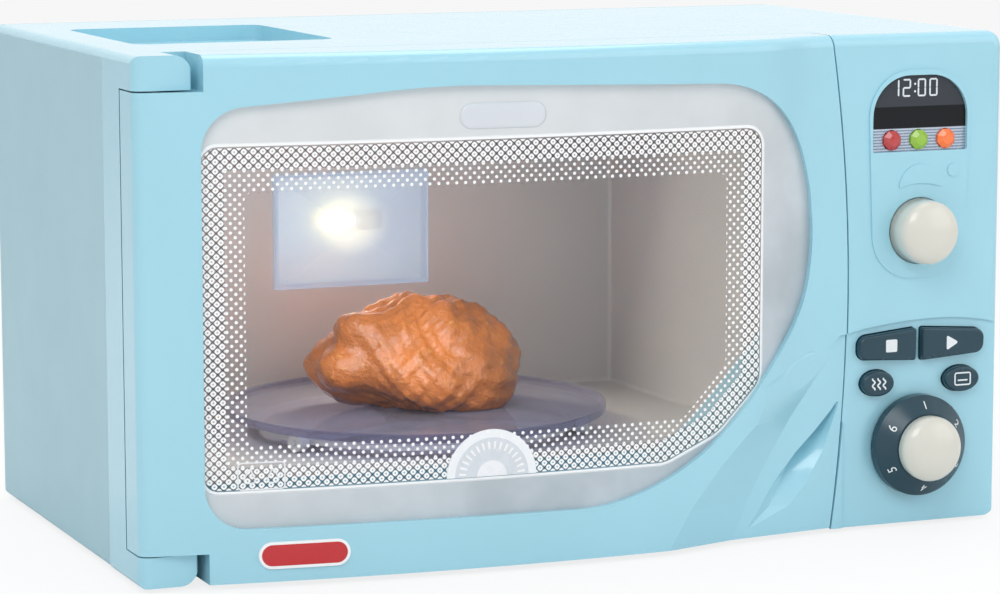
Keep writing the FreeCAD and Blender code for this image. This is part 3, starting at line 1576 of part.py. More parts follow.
def roast_chicken():
    """Trussed bird: a breast, a neck end, two legs and two wings, flat where it rests."""
    lumps = [lump(*shares) for shares in food_shares]
    base = food_height * food_base_share
    body = lumps[0].fuse(lumps[1:])
    body = body.common(box(-food_length, food_length, -food_depth, food_depth, base, food_height * 2))
    body.rotate(Vector(0, 0, 0), Vector(0, 0, 1), food_turn)
    body.translate(Vector(table_x, table_y, plate_top_z + touch_gap / 2 - base))
    return body


def display_lens():
    """Dark lens in the arch above the light strip, with a flange behind the panel."""
    split = display_bottom_z + strip_height
    above = box(0, half_width, panel_y - overrun, shell_y, split, top_z)
    lens = front_prism(display_corners(), panel_y + display_sink, panel_y + wall).common(above)
    flange_y = panel_y + wall
    flange = front_prism(display_corners(), flange_y, flange_y + display_flange, display_flange)
    return joined(lens, flange.common(above))


def led_places():
    z = display_bottom_z + strip_height / 2
    return [(control_x + (i - 1) * led_pitch, z) for i in range(3)]


def led_strip():
    """Ribbed bright strip below the display, holed for the three lights."""
    split = display_bottom_z + strip_height
    below = box(0, half_width, panel_y - overrun, shell_y, 0, split)
    front = panel_y + display_sink
    strip = front_prism(display_corners(), front, panel_y + wall + strip_back).common(below)
    count = int(strip_height / rib_pitch)
    for i in range(count):
        z = display_bottom_z + (i + 0.5) * strip_height / count
        half = rib_pitch / 4
        strip = strip.cut(box(0, half_width, front - overrun, front + rib_depth, z - half, z + half))
    for x, z in led_places():
        strip = strip.cut(along_y(x, z, panel_y - overrun, shell_y, led_radius))
    return strip


def led_jewel(x, z):
    """Faceted jewel: an eight-sided barrel, a sloping crown and a flat table."""

    def ring(radius, y):
        turns = [math.radians(360 / led_sides * (i + 0.5)) for i in range(led_sides)]
        points = [Vector(x + radius * math.cos(turn), y, z + radius * math.sin(turn)) for turn in turns]
        return Part.makePolygon(points + points[:1])
    girdle = ring(led_radius, panel_y + display_sink - led_reach / 3)
    table = ring(led_radius * led_table_share, panel_y + display_sink - led_reach)
    barrel = Part.makeLoft([ring(led_radius, panel_y + wall + strip_back), girdle], True, True)
    crown = Part.makeLoft([girdle, table], True, True)
    return barrel.fuse(crown).removeSplitter()


def timer_knob():
    """Domed knob whose foot stands in a shallow sink of the pad."""
    profile = [(0, -timer_set_in), (timer_radius, -timer_set_in)]
    profile += dome_profile(timer_shoulder_radius, timer_shoulder, timer_reach - timer_shoulder, dome_steps)
    body = turned(profile, control_x, panel_y - pad_stand, timer_z, "-y")
    return body.cut(along_y(control_x, timer_z, panel_y - timer_reach / 2, shell_y, knob_shaft_radius))


def timer_shaft():
    return along_y(control_x, timer_z, panel_y - timer_reach / 2, mech_y + mech_thick, knob_shaft_radius)


def timer_gear():
    body = gear(timer_teeth, 0, 0, 0, timer_gear_face, 90)
    body = body.cut(along_z(0, 0, -overrun, overrun, knob_shaft_radius))
    body = stood_up(body, timer_gear_y + timer_gear_face, timer_z)
    body.translate(Vector(control_x, 0, 0))
    return body


disc_z = timer_z + gear_module * (timer_teeth + disc_teeth) / 2


def display_disc():
    """Printed disc behind the display, with its gear ring and hub."""
    disc = along_y(control_x, disc_z, disc_front_y, disc_front_y + disc_thick, disc_radius)
    ring = gear(disc_teeth, 0, 0, 0, timer_gear_face, 270 + 180 / disc_teeth)
    ring = stood_up(ring, timer_gear_y + timer_gear_face, disc_z)
    ring.translate(Vector(control_x, 0, 0))
    collar = along_y(control_x, disc_z, disc_front_y + disc_thick, mech_y - touch_gap, axle_radius + wall)
    body = disc.fuse([ring, collar])
    return body.cut(along_y(control_x, disc_z, panel_y, shell_y, axle_radius + shaft_gap))


def axle_pins():
    """Pins of the idler gear and of the display disc."""
    idler_pin = along_z(idler_x, table_y, floor_z + gearbox_floor, gearbox_seat_z, axle_radius)
    disc_pin = along_y(control_x, disc_z, disc_front_y - touch_gap, mech_y + mech_thick, axle_radius)
    return [idler_pin, disc_pin]


def mech_plate():
    """Plate behind the panel that carries the timer's shaft and the disc's axle."""
    body = box(mech_left, mech_right, mech_y, mech_y + mech_thick, mech_bottom, mech_top)
    body = body.cut(along_y(control_x, timer_z, panel_y, shell_y, knob_shaft_radius + shaft_gap))
    body = body.cut(along_y(control_x, disc_z, panel_y, shell_y, axle_radius))
    for x, z in mech_posts():
        body = body.cut(along_y(x, z, panel_y, shell_y, screw_shank_radius))
    return body


def case_screws():
    """One size of screw for the rear cover, the gearbox lid and the two plates behind the panel."""
    seat_y = rear_y - screw_head_height - screw_sink_gap
    shapes = [screw(x, seat_y, z, Vector(0, -1, 0)) for x, z in rear_screw_places()]
    shapes += [screw(x, y, gearbox_top_z, Vector(0, 0, -1)) for x, y in gearbox_screw_places()]
    shapes += [screw(x, mech_y + mech_thick, z, Vector(0, -1, 0)) for x, z in mech_posts()]
    shapes += [screw(x, board_y + board_thick, z, Vector(0, -1, 0)) for x, z in board_posts()]
    return shapes


def power_dial():
    """Conical skirt that carries the numbers."""
    chamfer = dial_radius - small_round
    profile = [
        (0, knob_gap), (dial_radius, knob_gap), (dial_radius, dial_edge), (chamfer, dial_edge + small_round),
        (dial_cone_radius, dial_cone_height), (0, dial_cone_height),
    ]
    body = turned(profile, control_x, panel_y, dial_z, "-y")
    return body.cut(along_y(control_x, dial_z, panel_y - knob_reach, shell_y, knob_shaft_radius))


def dial_cap():
    base = cap_radius * cap_base_share
    profile = [(0, dial_cone_height), (base, dial_cone_height), (cap_radius, cap_widest)]
    profile += dome_profile(cap_radius, cap_widest, knob_reach - cap_widest, dome_steps)[1:]
    return turned(profile, control_x, panel_y, dial_z, "-y")


def dial_shaft():
    return along_y(control_x, dial_z, panel_y - dial_cone_height, board_y - touch_gap, knob_shaft_radius)


def rotary_switch():
    half = rotary_size / 2
    front = board_y - rotary_height
    body = box(control_x - half, control_x + half, front, board_y, dial_z - half, dial_z + half)
    corners = edges_where(body, lambda edge: edge.Length < rotary_height + small_round)
    body = body.makeFillet(small_round, corners)
    bore_y = board_y - touch_gap / 2
    return body.cut(along_y(control_x, dial_z, panel_y, bore_y, knob_shaft_radius + shaft_gap))


def push_button(name):
    """Cap that stands out of the panel, a flange behind it and a stem to its switch."""
    front = panel_y - button_stand
    back = panel_y + wall + touch_gap
    cap = button_shape(name, front, back, 0)
    rim = edges_where(cap, lambda edge: middle_of(edge).y < front + small_round / 4)
    cap = cap.makeFillet(button_round, rim)
    rear = back + button_flange_thick
    room = panel_block(door_gap + wall + touch_gap, back, rear, bottom_z, top_z, half_width)
    flange = button_shape(name, back, rear, button_gap + button_flange).common(room)
    x, z = button_places[name]
    rest_y = board_y - button_travel - 2 * touch_gap
    stem = along_y(x, z, panel_y + wall, rest_y - switch_height + touch_gap, button_stem_radius)
    plunger = along_y(x, z, panel_y + wall, rest_y, plunger_radius)
    return cap.fuse([flange, stem, plunger]).removeSplitter()


def tact_switches():
    shapes = []
    half = switch_size / 2
    for x, z in button_places.values():
        body = box(x - half, x + half, board_y - switch_height, board_y, z - half, z + half)
        bore = along_y(x, z, panel_y, board_y - touch_gap / 2, plunger_radius + 2 * shaft_gap)
        shapes.append(body.cut(bore))
    return shapes


def circuit_board():
    body = box(mech_left, mech_right, board_y, board_y + board_thick, board_bottom, board_top)
    for x, z in board_posts():
        body = body.cut(along_y(x, z, panel_y, shell_y, screw_shank_radius))
    chip = box(control_x - rotary_size / 2, control_x + rotary_size / 2, board_y + board_thick,
               board_y + 2 * board_thick, dial_z, dial_z + rotary_size / 2)
    return joined(body, chip)


def feet():
    x = shell_x - foot_inset
    return [along_z(side * x, y, 0, foot_height, foot_radius)
            for side in (-1, 1) for y in (shell_y + foot_inset, cover_y - foot_inset)]


def pieces():
    """Every piece of the toy under its own name."""
    named = {
        "main_housing": main_housing(), "top_cover": top_cover(), "rear_cover": rear_cover(),
        "case_screws": case_screws(), "axle_pins": axle_pins(), "feet": feet(),
        "front_fascia": front_fascia(), "hinge_pins": hinge_pins(), "door_catch": door_catch(),
        "oven_liner": oven_liner(), "lamp_window": lamp_window(), "lamp_reflector": lamp_reflector(),
        "lamp_bulb": lamp_bulb(), "bulb_holder": bulb_holder(),
        "gearbox_base": gearbox_base(), "gearbox_lid": gearbox_lid(),
        "turntable_motor": turntable_motor(), "motor_shaft": motor_shaft(), "motor_pinion": motor_pinion(),
        "idler_gear": idler_gear(), "drive_gear": drive_gear(), "drive_spindle": drive_spindle(),
        "spindle_bush": spindle_bush(), "turntable_plate": turntable_plate(), "roller_ring": roller_ring(),
        "roast_chicken": roast_chicken(), "door_frame": door_frame(), "window_lens": window_lens(),
        "door_inner_frame": door_inner_frame(), "door_screws": door_screws(), "latch_hook": latch_hook(),
        "badge_plate": badge_plate(), "window_label": window_label(), "display_lens": display_lens(),
        "led_strip": led_strip(), "led_jewels": [led_jewel(x, z) for x, z in led_places()],
        "display_disc": display_disc(), "mech_plate": mech_plate(), "timer_knob": timer_knob(),
        "timer_shaft": timer_shaft(), "timer_gear": timer_gear(), "power_dial": power_dial(),
        "dial_cap": dial_cap(), "dial_shaft": dial_shaft(), "rotary_switch": rotary_switch(),
        "circuit_board": circuit_board(), "tact_switches": tact_switches(), "battery_box": battery_box(),
        "battery_contacts": battery_contacts(), "battery_door": battery_door(),
        "battery_door_screw": battery_door_screw(), "speaker": speaker(),
    }
    for i in range(roller_count):
        named["roller_" + str(i + 1)] = roller(i)
    for name in button_places:
        named[name + "_button"] = push_button(name)
    return named


for name, shape in pieces().items():
    solid = Part.makeCompound(shape) if isinstance(shape, list) else shape
    solid.exportStep("parts/" + name + ".step")
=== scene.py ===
import math

import bpy
import numpy as np
from bpy.props import FloatProperty, FloatVectorProperty, PointerProperty
from bpy.types import Operator, Panel, PropertyGroup
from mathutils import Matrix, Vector


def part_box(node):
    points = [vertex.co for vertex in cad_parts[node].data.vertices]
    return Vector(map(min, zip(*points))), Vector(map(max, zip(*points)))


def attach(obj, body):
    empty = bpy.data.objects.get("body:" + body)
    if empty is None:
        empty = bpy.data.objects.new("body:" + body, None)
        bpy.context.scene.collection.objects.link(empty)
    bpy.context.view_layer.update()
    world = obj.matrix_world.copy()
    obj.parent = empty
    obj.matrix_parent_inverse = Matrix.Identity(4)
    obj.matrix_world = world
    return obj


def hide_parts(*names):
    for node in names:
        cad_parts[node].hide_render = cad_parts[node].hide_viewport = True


bl_info = {
    "name": "Toy Microwave Looks",
    "version": (1, 0, 0),
    "blender": (4, 5, 0),
    "location": "View3D > Sidebar > Microwave",
    "description": "Dresses the packed toy microwave: window, knobs, panel, oven and play food",
    "category": "Object",
}

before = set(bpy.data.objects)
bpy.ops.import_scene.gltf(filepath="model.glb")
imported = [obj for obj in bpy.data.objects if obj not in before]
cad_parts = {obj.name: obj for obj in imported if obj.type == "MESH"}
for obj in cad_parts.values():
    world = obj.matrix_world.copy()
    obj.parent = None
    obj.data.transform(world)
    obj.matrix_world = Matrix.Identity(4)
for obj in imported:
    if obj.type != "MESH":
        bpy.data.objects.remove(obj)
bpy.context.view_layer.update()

MM = 0.001

# Places shared with the solids, in millimetres
PANEL_Y = -83.0
BOW_STAND = 14.2
BOW_PEAK_X = -8.0
BOW_HALF_SPAN = 152.0
FALL_START_X = 55.0
FALL_ANGLE = math.radians(28.3)
DOOR_SKIN = 2.5
LENS_THICK = 2.2
DISPLAY_FACE = PANEL_Y + 0.8
PAD_Y = PANEL_Y - 0.6
BUTTON_Y = PANEL_Y - 2.2


def span(node):
    """Lowest and highest corner of a CAD node's box, in millimetres."""
    low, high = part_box(node)
    return np.array(low) / MM, np.array(high) / MM


def centre(node):
    """Middle of a CAD node's box, in millimetres."""
    low, high = span(node)
    return (low + high) / 2


CONTROL_X, _, TIMER_Z = centre("timer_knob")
DIAL_Z = centre("power_dial")[2]
BADGE_X, _, BADGE_Z = centre("badge_plate")
LABEL_X = centre("window_label")[0]
LABEL_BOTTOM = span("window_label")[0][2]
STRIP_BOTTOM = span("led_strip")[0][2]
LENS_BOTTOM = STRIP_BOTTOM + 8.4

# Outlines on the door, each corner as x, z and the radius of its arc
WINDOW_CORNERS = [
    (-143.2, 20.7, 14.73), (-3.3, 19.8, 50.39), (33.98, 26.9, 92.04), (83.45, 83.59, 44.06),
    (87.13, 107.95, 68.11), (85.29, 127.82, 47.86), (74.47, 166.06, 40.96), (-60.36, 169.65, 269.9),
    (-142.97, 162.78, 15.19),
]
BAND_CORNERS = [
    (-142.8, 33.4, 5.0), (24.0, 33.4, 12.0), (45.0, 42.5, 20.0), (62.6, 60.0, 8.0),
    (62.8, 150.6, 6.5), (-142.8, 150.6, 6.0),
]
PANE_CORNERS = [
    (-128.1, 48.8, 3.0), (31.5, 48.8, 4.0), (48.2, 66.5, 4.0), (48.2, 135.2, 3.0), (-128.1, 135.2, 3.0),
]


def linear(colour):
    """Display colour (0 to 1) as scene-linear light."""
    c = np.asarray(colour, float)[:3]
    return tuple(np.where(c <= 0.04045, c / 12.92, ((c + 0.055) / 1.055) ** 2.4))


def scaled(colour, share):
    """A scene-linear colour made darker or lighter."""
    return tuple(min(1.0, c * share) for c in colour)


def turned(a, b, degrees):
    """The point (a, b) turned about the origin."""
    s, c = math.sin(math.radians(degrees)), math.cos(math.radians(degrees))
    return a * c - b * s, a * s + b * c


def unit(vectors):
    """Each vector of an array at length one."""
    return vectors / np.linalg.norm(vectors, axis=-1, keepdims=True)


def bow_y(x, depth=0.0):
    """Front of the door at x, set back by depth: a long arc about the bow's centre up to FALL_START_X,
    then two equal arcs that fall back and meet the flat panel."""
    x = np.asarray(x, float)
    radius = (BOW_HALF_SPAN**2 + BOW_STAND**2) / (2 * BOW_STAND)
    centre_y = PANEL_Y - BOW_STAND + radius
    first = math.asin((FALL_START_X - BOW_PEAK_X) / radius)
    drop = PANEL_Y - (centre_y - radius * math.cos(first))
    r = drop / (math.cos(first) + 1 - 2 * math.cos(FALL_ANGLE))
    fall_x = FALL_START_X - r * math.sin(first)
    fall_y = centre_y - (radius - r) * math.cos(first)
    rise_x = fall_x + 2 * r * math.sin(FALL_ANGLE)
    rise_y = fall_y - 2 * r * math.cos(FALL_ANGLE)
    long_arc = centre_y - np.sqrt(np.maximum((radius - depth) ** 2 - (x - BOW_PEAK_X) ** 2, 0))
    fall = fall_y - np.sqrt(np.maximum((r - depth) ** 2 - (x - fall_x) ** 2, 0))
    rise = rise_y + np.sqrt(np.maximum((r + depth) ** 2 - (x - rise_x) ** 2, 0))
    arc_end = BOW_PEAK_X + (radius - depth) * math.sin(first)
    fall_end = fall_x + (r - depth) * math.sin(FALL_ANGLE)
    return np.select([x < arc_end, x < fall_end, x < rise_x], [long_arc, fall, rise], PANEL_Y + depth)


def on_door(x, z):
    """Face under the door's skin, on which the window's marks lie."""
    return bow_y(x, DOOR_SKIN)


def flat_at(y):
    """A flat face at y for marks to lie on."""
    return lambda x, z: np.full(np.shape(x), y)


def rounded_outline(corners, step):
    """Points along a closed outline of straight runs and corner arcs, about one step apart.
    An arc of radius r leaves its corner's sides at r tan(turn / 2)."""
    pieces = []
    for i, (*here, radius) in enumerate(corners):
        here = np.array(here, float)
        inward = unit(here - corners[i - 1][:2])
        onward = unit(corners[(i + 1) % len(corners)][:2] - here)
        turn = math.atan2(inward[0] * onward[1] - inward[1] * onward[0], float(inward @ onward))
        side = np.sign(turn) * np.array([-inward[1], inward[0]])
        hub = here - inward * radius * math.tan(abs(turn) / 2) + side * radius
        a = np.linspace(0, turn, max(3, int(abs(turn) * radius / step) + 2))
        spoke = -side * radius
        pieces.append(hub + np.stack([spoke[0] * np.cos(a) - spoke[1] * np.sin(a),
                                      spoke[0] * np.sin(a) + spoke[1] * np.cos(a)], 1))
    closed = np.vstack([*pieces, pieces[0][:1]])
    lengths = np.concatenate([[0], np.cumsum(np.linalg.norm(np.diff(closed, axis=0), axis=1))])
    wanted = np.linspace(0, lengths[-1], max(16, int(lengths[-1] / step)), endpoint=False)
    return np.stack([np.interp(wanted, lengths, closed[:, k]) for k in (0, 1)], 1)


def rounded_box(left, bottom, right, top, radius, step):
    """Outline of an upright box with round corners."""
    corners = ((left, bottom), (right, bottom), (right, top), (left, top))
    return rounded_outline([(*corner, radius) for corner in corners], step)


def inside_by(points, outline):
    """How far each point lies inside a closed outline, negative outside: the least distance to its sides,
    with the sign of the crossing count."""
    a, b = outline, np.roll(outline, -1, axis=0)
    best = np.full(len(points), 1e9)
    crossings = np.zeros(len(points), int)
    d = b - a
    rise = np.where(np.abs(d[:, 1]) < 1e-9, 1e-9, d[:, 1])
    for start in range(0, len(points), 4096):
        p = points[start:start + 4096, None]
        t = np.clip(((p - a) * d).sum(2) / (d**2).sum(1), 0, 1)
        near = a + t[..., None] * d
        best[start:start + 4096] = np.sqrt(((p - near) ** 2).sum(2)).min(1)
        above = (a[:, 1] > p[..., 1]) != (b[:, 1] > p[..., 1])
        reach = d[:, 0] * (p[..., 1] - a[:, 1]) / rise + a[:, 0]
        crossings[start:start + 4096] = (above & (p[..., 0] < reach)).sum(1)
    return np.where(crossings % 2 == 1, best, -best)


def grid_faces(rows, columns):
    """Quads of a grid of points numbered row by row, whose rows close."""
    i = np.arange(rows - 1)[:, None] * columns
    j = np.arange(columns)[None, :]
    after = (j + 1) % columns
    return np.stack([i + j, i + after, i + columns + after, i + columns + j], -1).reshape(-1, 4)


def fan_faces(ring, hub, flip=False):
    """Triangles from a closed ring of points to one hub point."""
    after = np.roll(ring, -1)
    if flip:
        ring, after = after, ring
    return [(p, q, hub) for p, q in zip(ring, after)]


def capped_faces(rows, columns):
    """Faces of a grid closed by a point before its first row and one after its last, numbered in that order
    after the grid."""
    faces = list(grid_faces(rows, columns))
    faces += fan_faces(np.arange(columns), rows * columns, flip=True)
    return faces + fan_faces((rows - 1) * columns + np.arange(columns), rows * columns + 1)


def make_piece(name, points_mm, faces, body, smooth=True, attributes=None, sharp=None):
    """Puts a surface worked out in millimetres into a mesh that rides on a CAD body."""
    mesh = bpy.data.meshes.new(name)
    mesh.from_pydata((np.asarray(points_mm, float) * MM).tolist(), [], [list(map(int, f)) for f in faces])
    mesh.validate()
    mesh.polygons.foreach_set("use_smooth", np.full(len(mesh.polygons), smooth))
    for key, values in (attributes or {}).items():
        layer = mesh.attributes.new(key, "FLOAT", "POINT")
        layer.data.foreach_set("value", np.asarray(values, np.float32))
    if sharp is not None:
        mesh.set_sharp_from_angle(angle=math.radians(sharp))
    obj = bpy.data.objects.new(name, mesh)
    bpy.context.scene.collection.objects.link(obj)
    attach(obj, body)
    return obj


def disc_surface(outline, rings, front, back):
    """Closed plate over a star-shaped outline. The front is middle + t (outline - middle) for t from 0 to 1,
    given its depth by front(x, z); the back is the same grid given back(x, z)."""
    count = len(outline)
    middle = outline.mean(0)
    shares = np.linspace(0, 1, rings + 1)[1:]
    flat = (middle + shares[:, None, None] * (outline - middle)).reshape(-1, 2)
    flat = np.vstack([flat, middle])
    x, z = flat.T
    points = np.vstack([np.stack([x, depth(x, z), z], 1) for depth in (front, back)])
    offset = len(flat)
    quads = grid_faces(rings, count)
    faces = list(quads[:, ::-1])
    faces += fan_faces(np.arange(count), offset - 1)
    faces += list(quads + offset)
    faces += fan_faces(np.arange(count) + offset, 2 * offset - 1, flip=True)
    last = (rings - 1) * count + np.arange(count)
    after = np.roll(last, -1)
    faces += list(zip(after, last, last + offset, after + offset))
    return points, faces, flat


def revolve(profile, sides, origin, axis):
    """Closed surface of a profile (radius, distance) turned about an axis through origin: each point is
    origin + distance axis + radius (cos a side + sin a up)."""
    profile = np.asarray(profile, float)
    origin = np.asarray(origin, float)
    axis = np.asarray(axis, float)
    side = unit(np.cross([0, 0, 1.0], axis))
    up = np.cross(axis, side)
    a = np.linspace(0, 2 * math.pi, sides, endpoint=False)
    ring = np.cos(a)[:, None] * side + np.sin(a)[:, None] * up
    inner = profile[1:-1]
    points = origin + inner[:, 1][:, None, None] * axis + inner[:, 0][:, None, None] * ring
    ends = [origin + axis * profile[0, 1], origin + axis * profile[-1, 1]]
    return np.vstack([points.reshape(-1, 3), ends]), capped_faces(len(inner), sides)


def both_sides(flat, surface, lift):
    """Points (x, z) laid on surface(x, z) -> y, first lift in front of it and then as far behind."""
    x, z = flat.T
    y = surface(x, z)
    return np.vstack([np.stack([x, y - lift, z], 1), np.stack([x, y + lift, z], 1)])


def plate(outline, surface, lift=0.12):
    """Thin closed plate over any flat outline (x, z), laid on a surface."""
    n = len(outline)
    i = np.arange(n)
    j = (i + 1) % n
    faces = [tuple(i), tuple((i + n)[::-1])] + list(zip(i, i + n, j + n, j))
    return both_sides(outline, surface, lift), faces


def ribbon(path, width, surface, lift=0.12, closed=False, ends=5):
    """Raised stroke of even width along a flat path (x, z), with round ends, laid on a surface.
    Each side is the path shifted by half the width along its normal."""
    path = np.asarray(path, float)
    ahead = np.roll(path, -1, axis=0) - path
    behind = path - np.roll(path, 1, axis=0)
    if not closed:
        ahead[-1] = behind[-1]
        behind[0] = ahead[0]
    tangent = unit(unit(ahead) + unit(behind))
    normal = np.stack([-tangent[:, 1], tangent[:, 0]], 1)
    half = width / 2
    left = path + normal * half
    right = path - normal * half
    if closed:
        n = len(path)
        i = np.arange(n)
        j = (i + 1) % n
        faces = list(zip(i, j, j + n, i + n))
        faces += list(zip(i + 3 * n, j + 3 * n, j + 2 * n, i + 2 * n))
        faces += list(zip(j, i, i + 2 * n, j + 2 * n))
        faces += list(zip(i + n, j + n, j + 3 * n, i + 3 * n))
        return both_sides(np.vstack([left, right]), surface, lift), faces
    a = np.linspace(0, math.pi, ends + 2)[1:-1]
    cap_end = path[-1] + half * (np.cos(a)[:, None] * normal[-1] + np.sin(a)[:, None] * tangent[-1])
    cap_start = path[0] - half * (np.cos(a)[:, None] * normal[0] + np.sin(a)[:, None] * tangent[0])
    return plate(np.vstack([left, cap_end, right[::-1], cap_start]), surface, lift)


def collect(parts):
    """Several closed surfaces as one set of points and faces."""
    points, faces, count = [], [], 0
    for p, f in parts:
        points.append(p)
        faces += [[k + count for k in face] for face in f]
        count += len(p)
    return np.vstack(points), faces


class Socket:
    """A shader value. Its operators add Math nodes."""

    def __init__(self, shade, socket):
        self.shade = shade
        self.socket = socket

    def math(self, operation, *others):
        return self.shade.math(operation, self, *others)

    def __add__(self, other):
        return self.math("ADD", other)

    __radd__ = __add__

    def __sub__(self, other):
        return self.math("SUBTRACT", other)

    def __rsub__(self, other):
        return self.shade.math("SUBTRACT", other, self)

    def __mul__(self, other):
        return self.math("MULTIPLY", other)

    __rmul__ = __mul__

    def abs(self):
        return self.math("ABSOLUTE")

    def fract(self):
        return self.math("FRACT")

    def sqrt(self):
        return self.math("SQRT")

    def max(self, other):
        return self.math("MAXIMUM", other)

    def step(self, low, high):
        """0 at low, 1 at high, smooth between; low may be the larger."""
        return self.shade.node("ShaderNodeMapRange", {"interpolation_type": "SMOOTHSTEP"},
                               {"Value": self, "From Min": low, "From Max": high})

    def within(self, limit, soft):
        """1 below the limit and 0 above it, over an edge of soft to either side."""
        return self.step(limit + soft, limit - soft)

    def beyond(self, limit, soft):
        """1 above the limit and 0 below it, over an edge of soft to either side."""
        return self.step(limit - soft, limit + soft)


def distance(a, b):
    """Root of a squared plus b squared, for two shader values."""
    return (a * a + b * b).sqrt()


class Shade:
    """The nodes of a material, or of the world, in the making."""

    def __init__(self, name, world=False):
        self.made = (bpy.data.worlds if world else bpy.data.materials).new(name)
        self.made.use_nodes = True
        self.tree = self.made.node_tree
        self.tree.nodes.clear()
        self.end = "ShaderNodeOutputWorld" if world else "ShaderNodeOutputMaterial"
        self.place = None

    def node(self, kind, settings=None, inputs=None, output=0):
        """A node of one kind: its settings first, then the values or links of its sockets.
        A colour is given as three numbers."""
        made = self.tree.nodes.new(kind)
        for key, value in (settings or {}).items():
            setattr(made, key, value)
        for key, value in (inputs or {}).items():
            socket = made.inputs[key]
            if isinstance(value, Socket):
                self.tree.links.new(value.socket, socket)
            else:
                socket.default_value = (*value, 1.0) if socket.type == "RGBA" else value
        return Socket(self, made.outputs[output]) if len(made.outputs) else None

    def math(self, operation, *values):
        return self.node("ShaderNodeMath", {"operation": operation}, dict(enumerate(values)))

    def where(self):
        """Object coordinates in millimetres."""
        if self.place is None:
            coordinates = self.node("ShaderNodeTexCoord", output="Object")
            self.place = self.node("ShaderNodeMapping", {}, {"Vector": coordinates, "Scale": (1 / MM,) * 3})
        return self.place

    def axes(self):
        """x, y and z in millimetres."""
        split = self.node("ShaderNodeSeparateXYZ", {}, {0: self.where()}).socket.node
        return [Socket(self, out) for out in split.outputs]

    def noise(self, scale, detail=3.0, rough=0.5, stretch=None):
        vector = self.where()
        if stretch:
            vector = self.node("ShaderNodeMapping", {}, {"Vector": vector, "Scale": stretch})
        return self.node("ShaderNodeTexNoise", {}, {"Vector": vector, "Scale": scale, "Detail": detail,
                                                    "Roughness": rough})

    def read(self, name):
        """A number stored on the piece's points."""
        return self.node("ShaderNodeAttribute", {"attribute_name": name}, output="Fac")

    def mix(self, share, first, second):
        """Colour between first and second."""
        return self.node("ShaderNodeMix", {"data_type": "RGBA"}, {0: share, 6: first, 7: second}, output=2)

    def bump(self, height, rise_mm):
        return self.node("ShaderNodeBump", {}, {"Height": height, "Distance": rise_mm * MM})

    def principled(self, **inputs):
        return self.node("ShaderNodeBsdfPrincipled", {}, {k.replace("_", " "): v for k, v in inputs.items()})

    def blend(self, share, first, second):
        return self.node("ShaderNodeMixShader", {}, {0: share, 1: first, 2: second})

    def clear(self, skin, light, body, edge, bend=0.35):
        """Clear plastic: light passes through, and its skin shows by body all over and by edge at its rim."""
        through = self.node("ShaderNodeBsdfTransparent", {}, {"Color": light})
        rim = self.node("ShaderNodeLayerWeight", {}, {"Blend": bend}, output="Facing")
        return self.blend(rim * edge + body, through, skin)

    def finish(self, shader):
        self.node(self.end, {}, {"Surface": shader})
        return self.made


def plastic(name, colour, rough=0.3, grain=0.02, grain_scale=0.9, cloud=0.04, coat=0.0):
    """Moulded plastic: a colour that drifts a little, fine grain, and faint flow marks in its gloss."""
    shade = Shade(name)
    base = linear(colour)
    drift = shade.noise(0.02, 2.0)
    tint = shade.mix(drift.step(0.3, 0.7), scaled(base, 1 - 2.2 * cloud), base)
    gloss = (shade.noise(0.06, 3.0, 0.6) - 0.5) * 0.12 + rough
    grain = shade.bump(shade.noise(grain_scale), grain)
    return shade.finish(shade.principled(Base_Color=tint, Roughness=gloss, Normal=grain, Coat_Weight=coat,
                                         Coat_Roughness=0.08))


def metal(name, colour, rough=0.3):
    """Steel with fine marks drawn out along one way."""
    shade = Shade(name)
    base = linear(colour)
    marks = shade.noise(0.8, 4.0, 0.6, (0.2, 6.0, 0.2))
    tint = shade.mix(marks, scaled(base, 0.82), base)
    return shade.finish(shade.principled(Base_Color=tint, Metallic=1.0, Roughness=marks * 0.2 + (rough - 0.1),
                                         Normal=shade.bump(marks, 0.01)))


def give(obj, material):
    """Gives an object one material."""
    obj.data.materials.clear()
    obj.data.materials.append(material)
    return obj


def dress(material, *nodes):
    """Gives CAD nodes a material."""
    for node in nodes:
        give(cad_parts[node], material)


def colour_property(label, text, value):
    return FloatVectorProperty(name=label, description=text, default=value, subtype="COLOR_GAMMA", size=3,
                               min=0.0, max=1.0)


def length_property(label, text, value):
    return FloatProperty(name=label, description=text, default=value * MM, unit="LENGTH", subtype="DISTANCE",
                         min=0.0)


class MicrowaveColours(PropertyGroup):
    """Colours of the toy microwave"""

    shell: colour_property("Shell", "Light blue of the door, the fascia and the top", (0.625, 0.83, 0.89))
    side: colour_property("Sides", "Greyer blue of the sides and the rear", (0.645, 0.79, 0.83))
    liner: colour_property("Oven liner", "Warm grey inside the oven", (0.81, 0.805, 0.80))
    slate: colour_property("Slate", "Dark blue grey of the buttons and the dial's skirt", (0.09, 0.24, 0.295))
    cream: colour_property("Cream", "Domes of the timer and the power dial", (0.85, 0.84, 0.795))
    badge: colour_property("Badge", "Red of the pill on the door", (0.78, 0.10, 0.13))
    frost: colour_property("Frost", "Silver grey border of the window", (0.86, 0.875, 0.88))
    roast: colour_property("Roast", "Glaze of the play food", (0.81, 0.46, 0.18))


class MicrowaveSizes(PropertyGroup):
    """Sizes of the marks on the toy microwave"""

    dot_pitch: length_property("Dot pitch", "Spacing of the printed dots across the window", 3.2)
    ring_radius: length_property("Ring radius", "Radius of the outer printed rings", 0.98)
    dot_radius: length_property("Dot radius", "Radius of the inner printed dots", 0.62)
    number_height: length_property("Number height", "Height of the numbers on the power dial", 3.5)
    digit_height: length_property("Digit height", "Height of the digits in the display", 5.9)
    stroke: length_property("Stroke", "Width of the signs on the buttons", 0.75)


def colours():
    return bpy.context.scene.microwave_colours


def size_mm(name):
    """One of the panel's sizes, in millimetres."""
    return getattr(bpy.context.scene.microwave_sizes, name) / MM


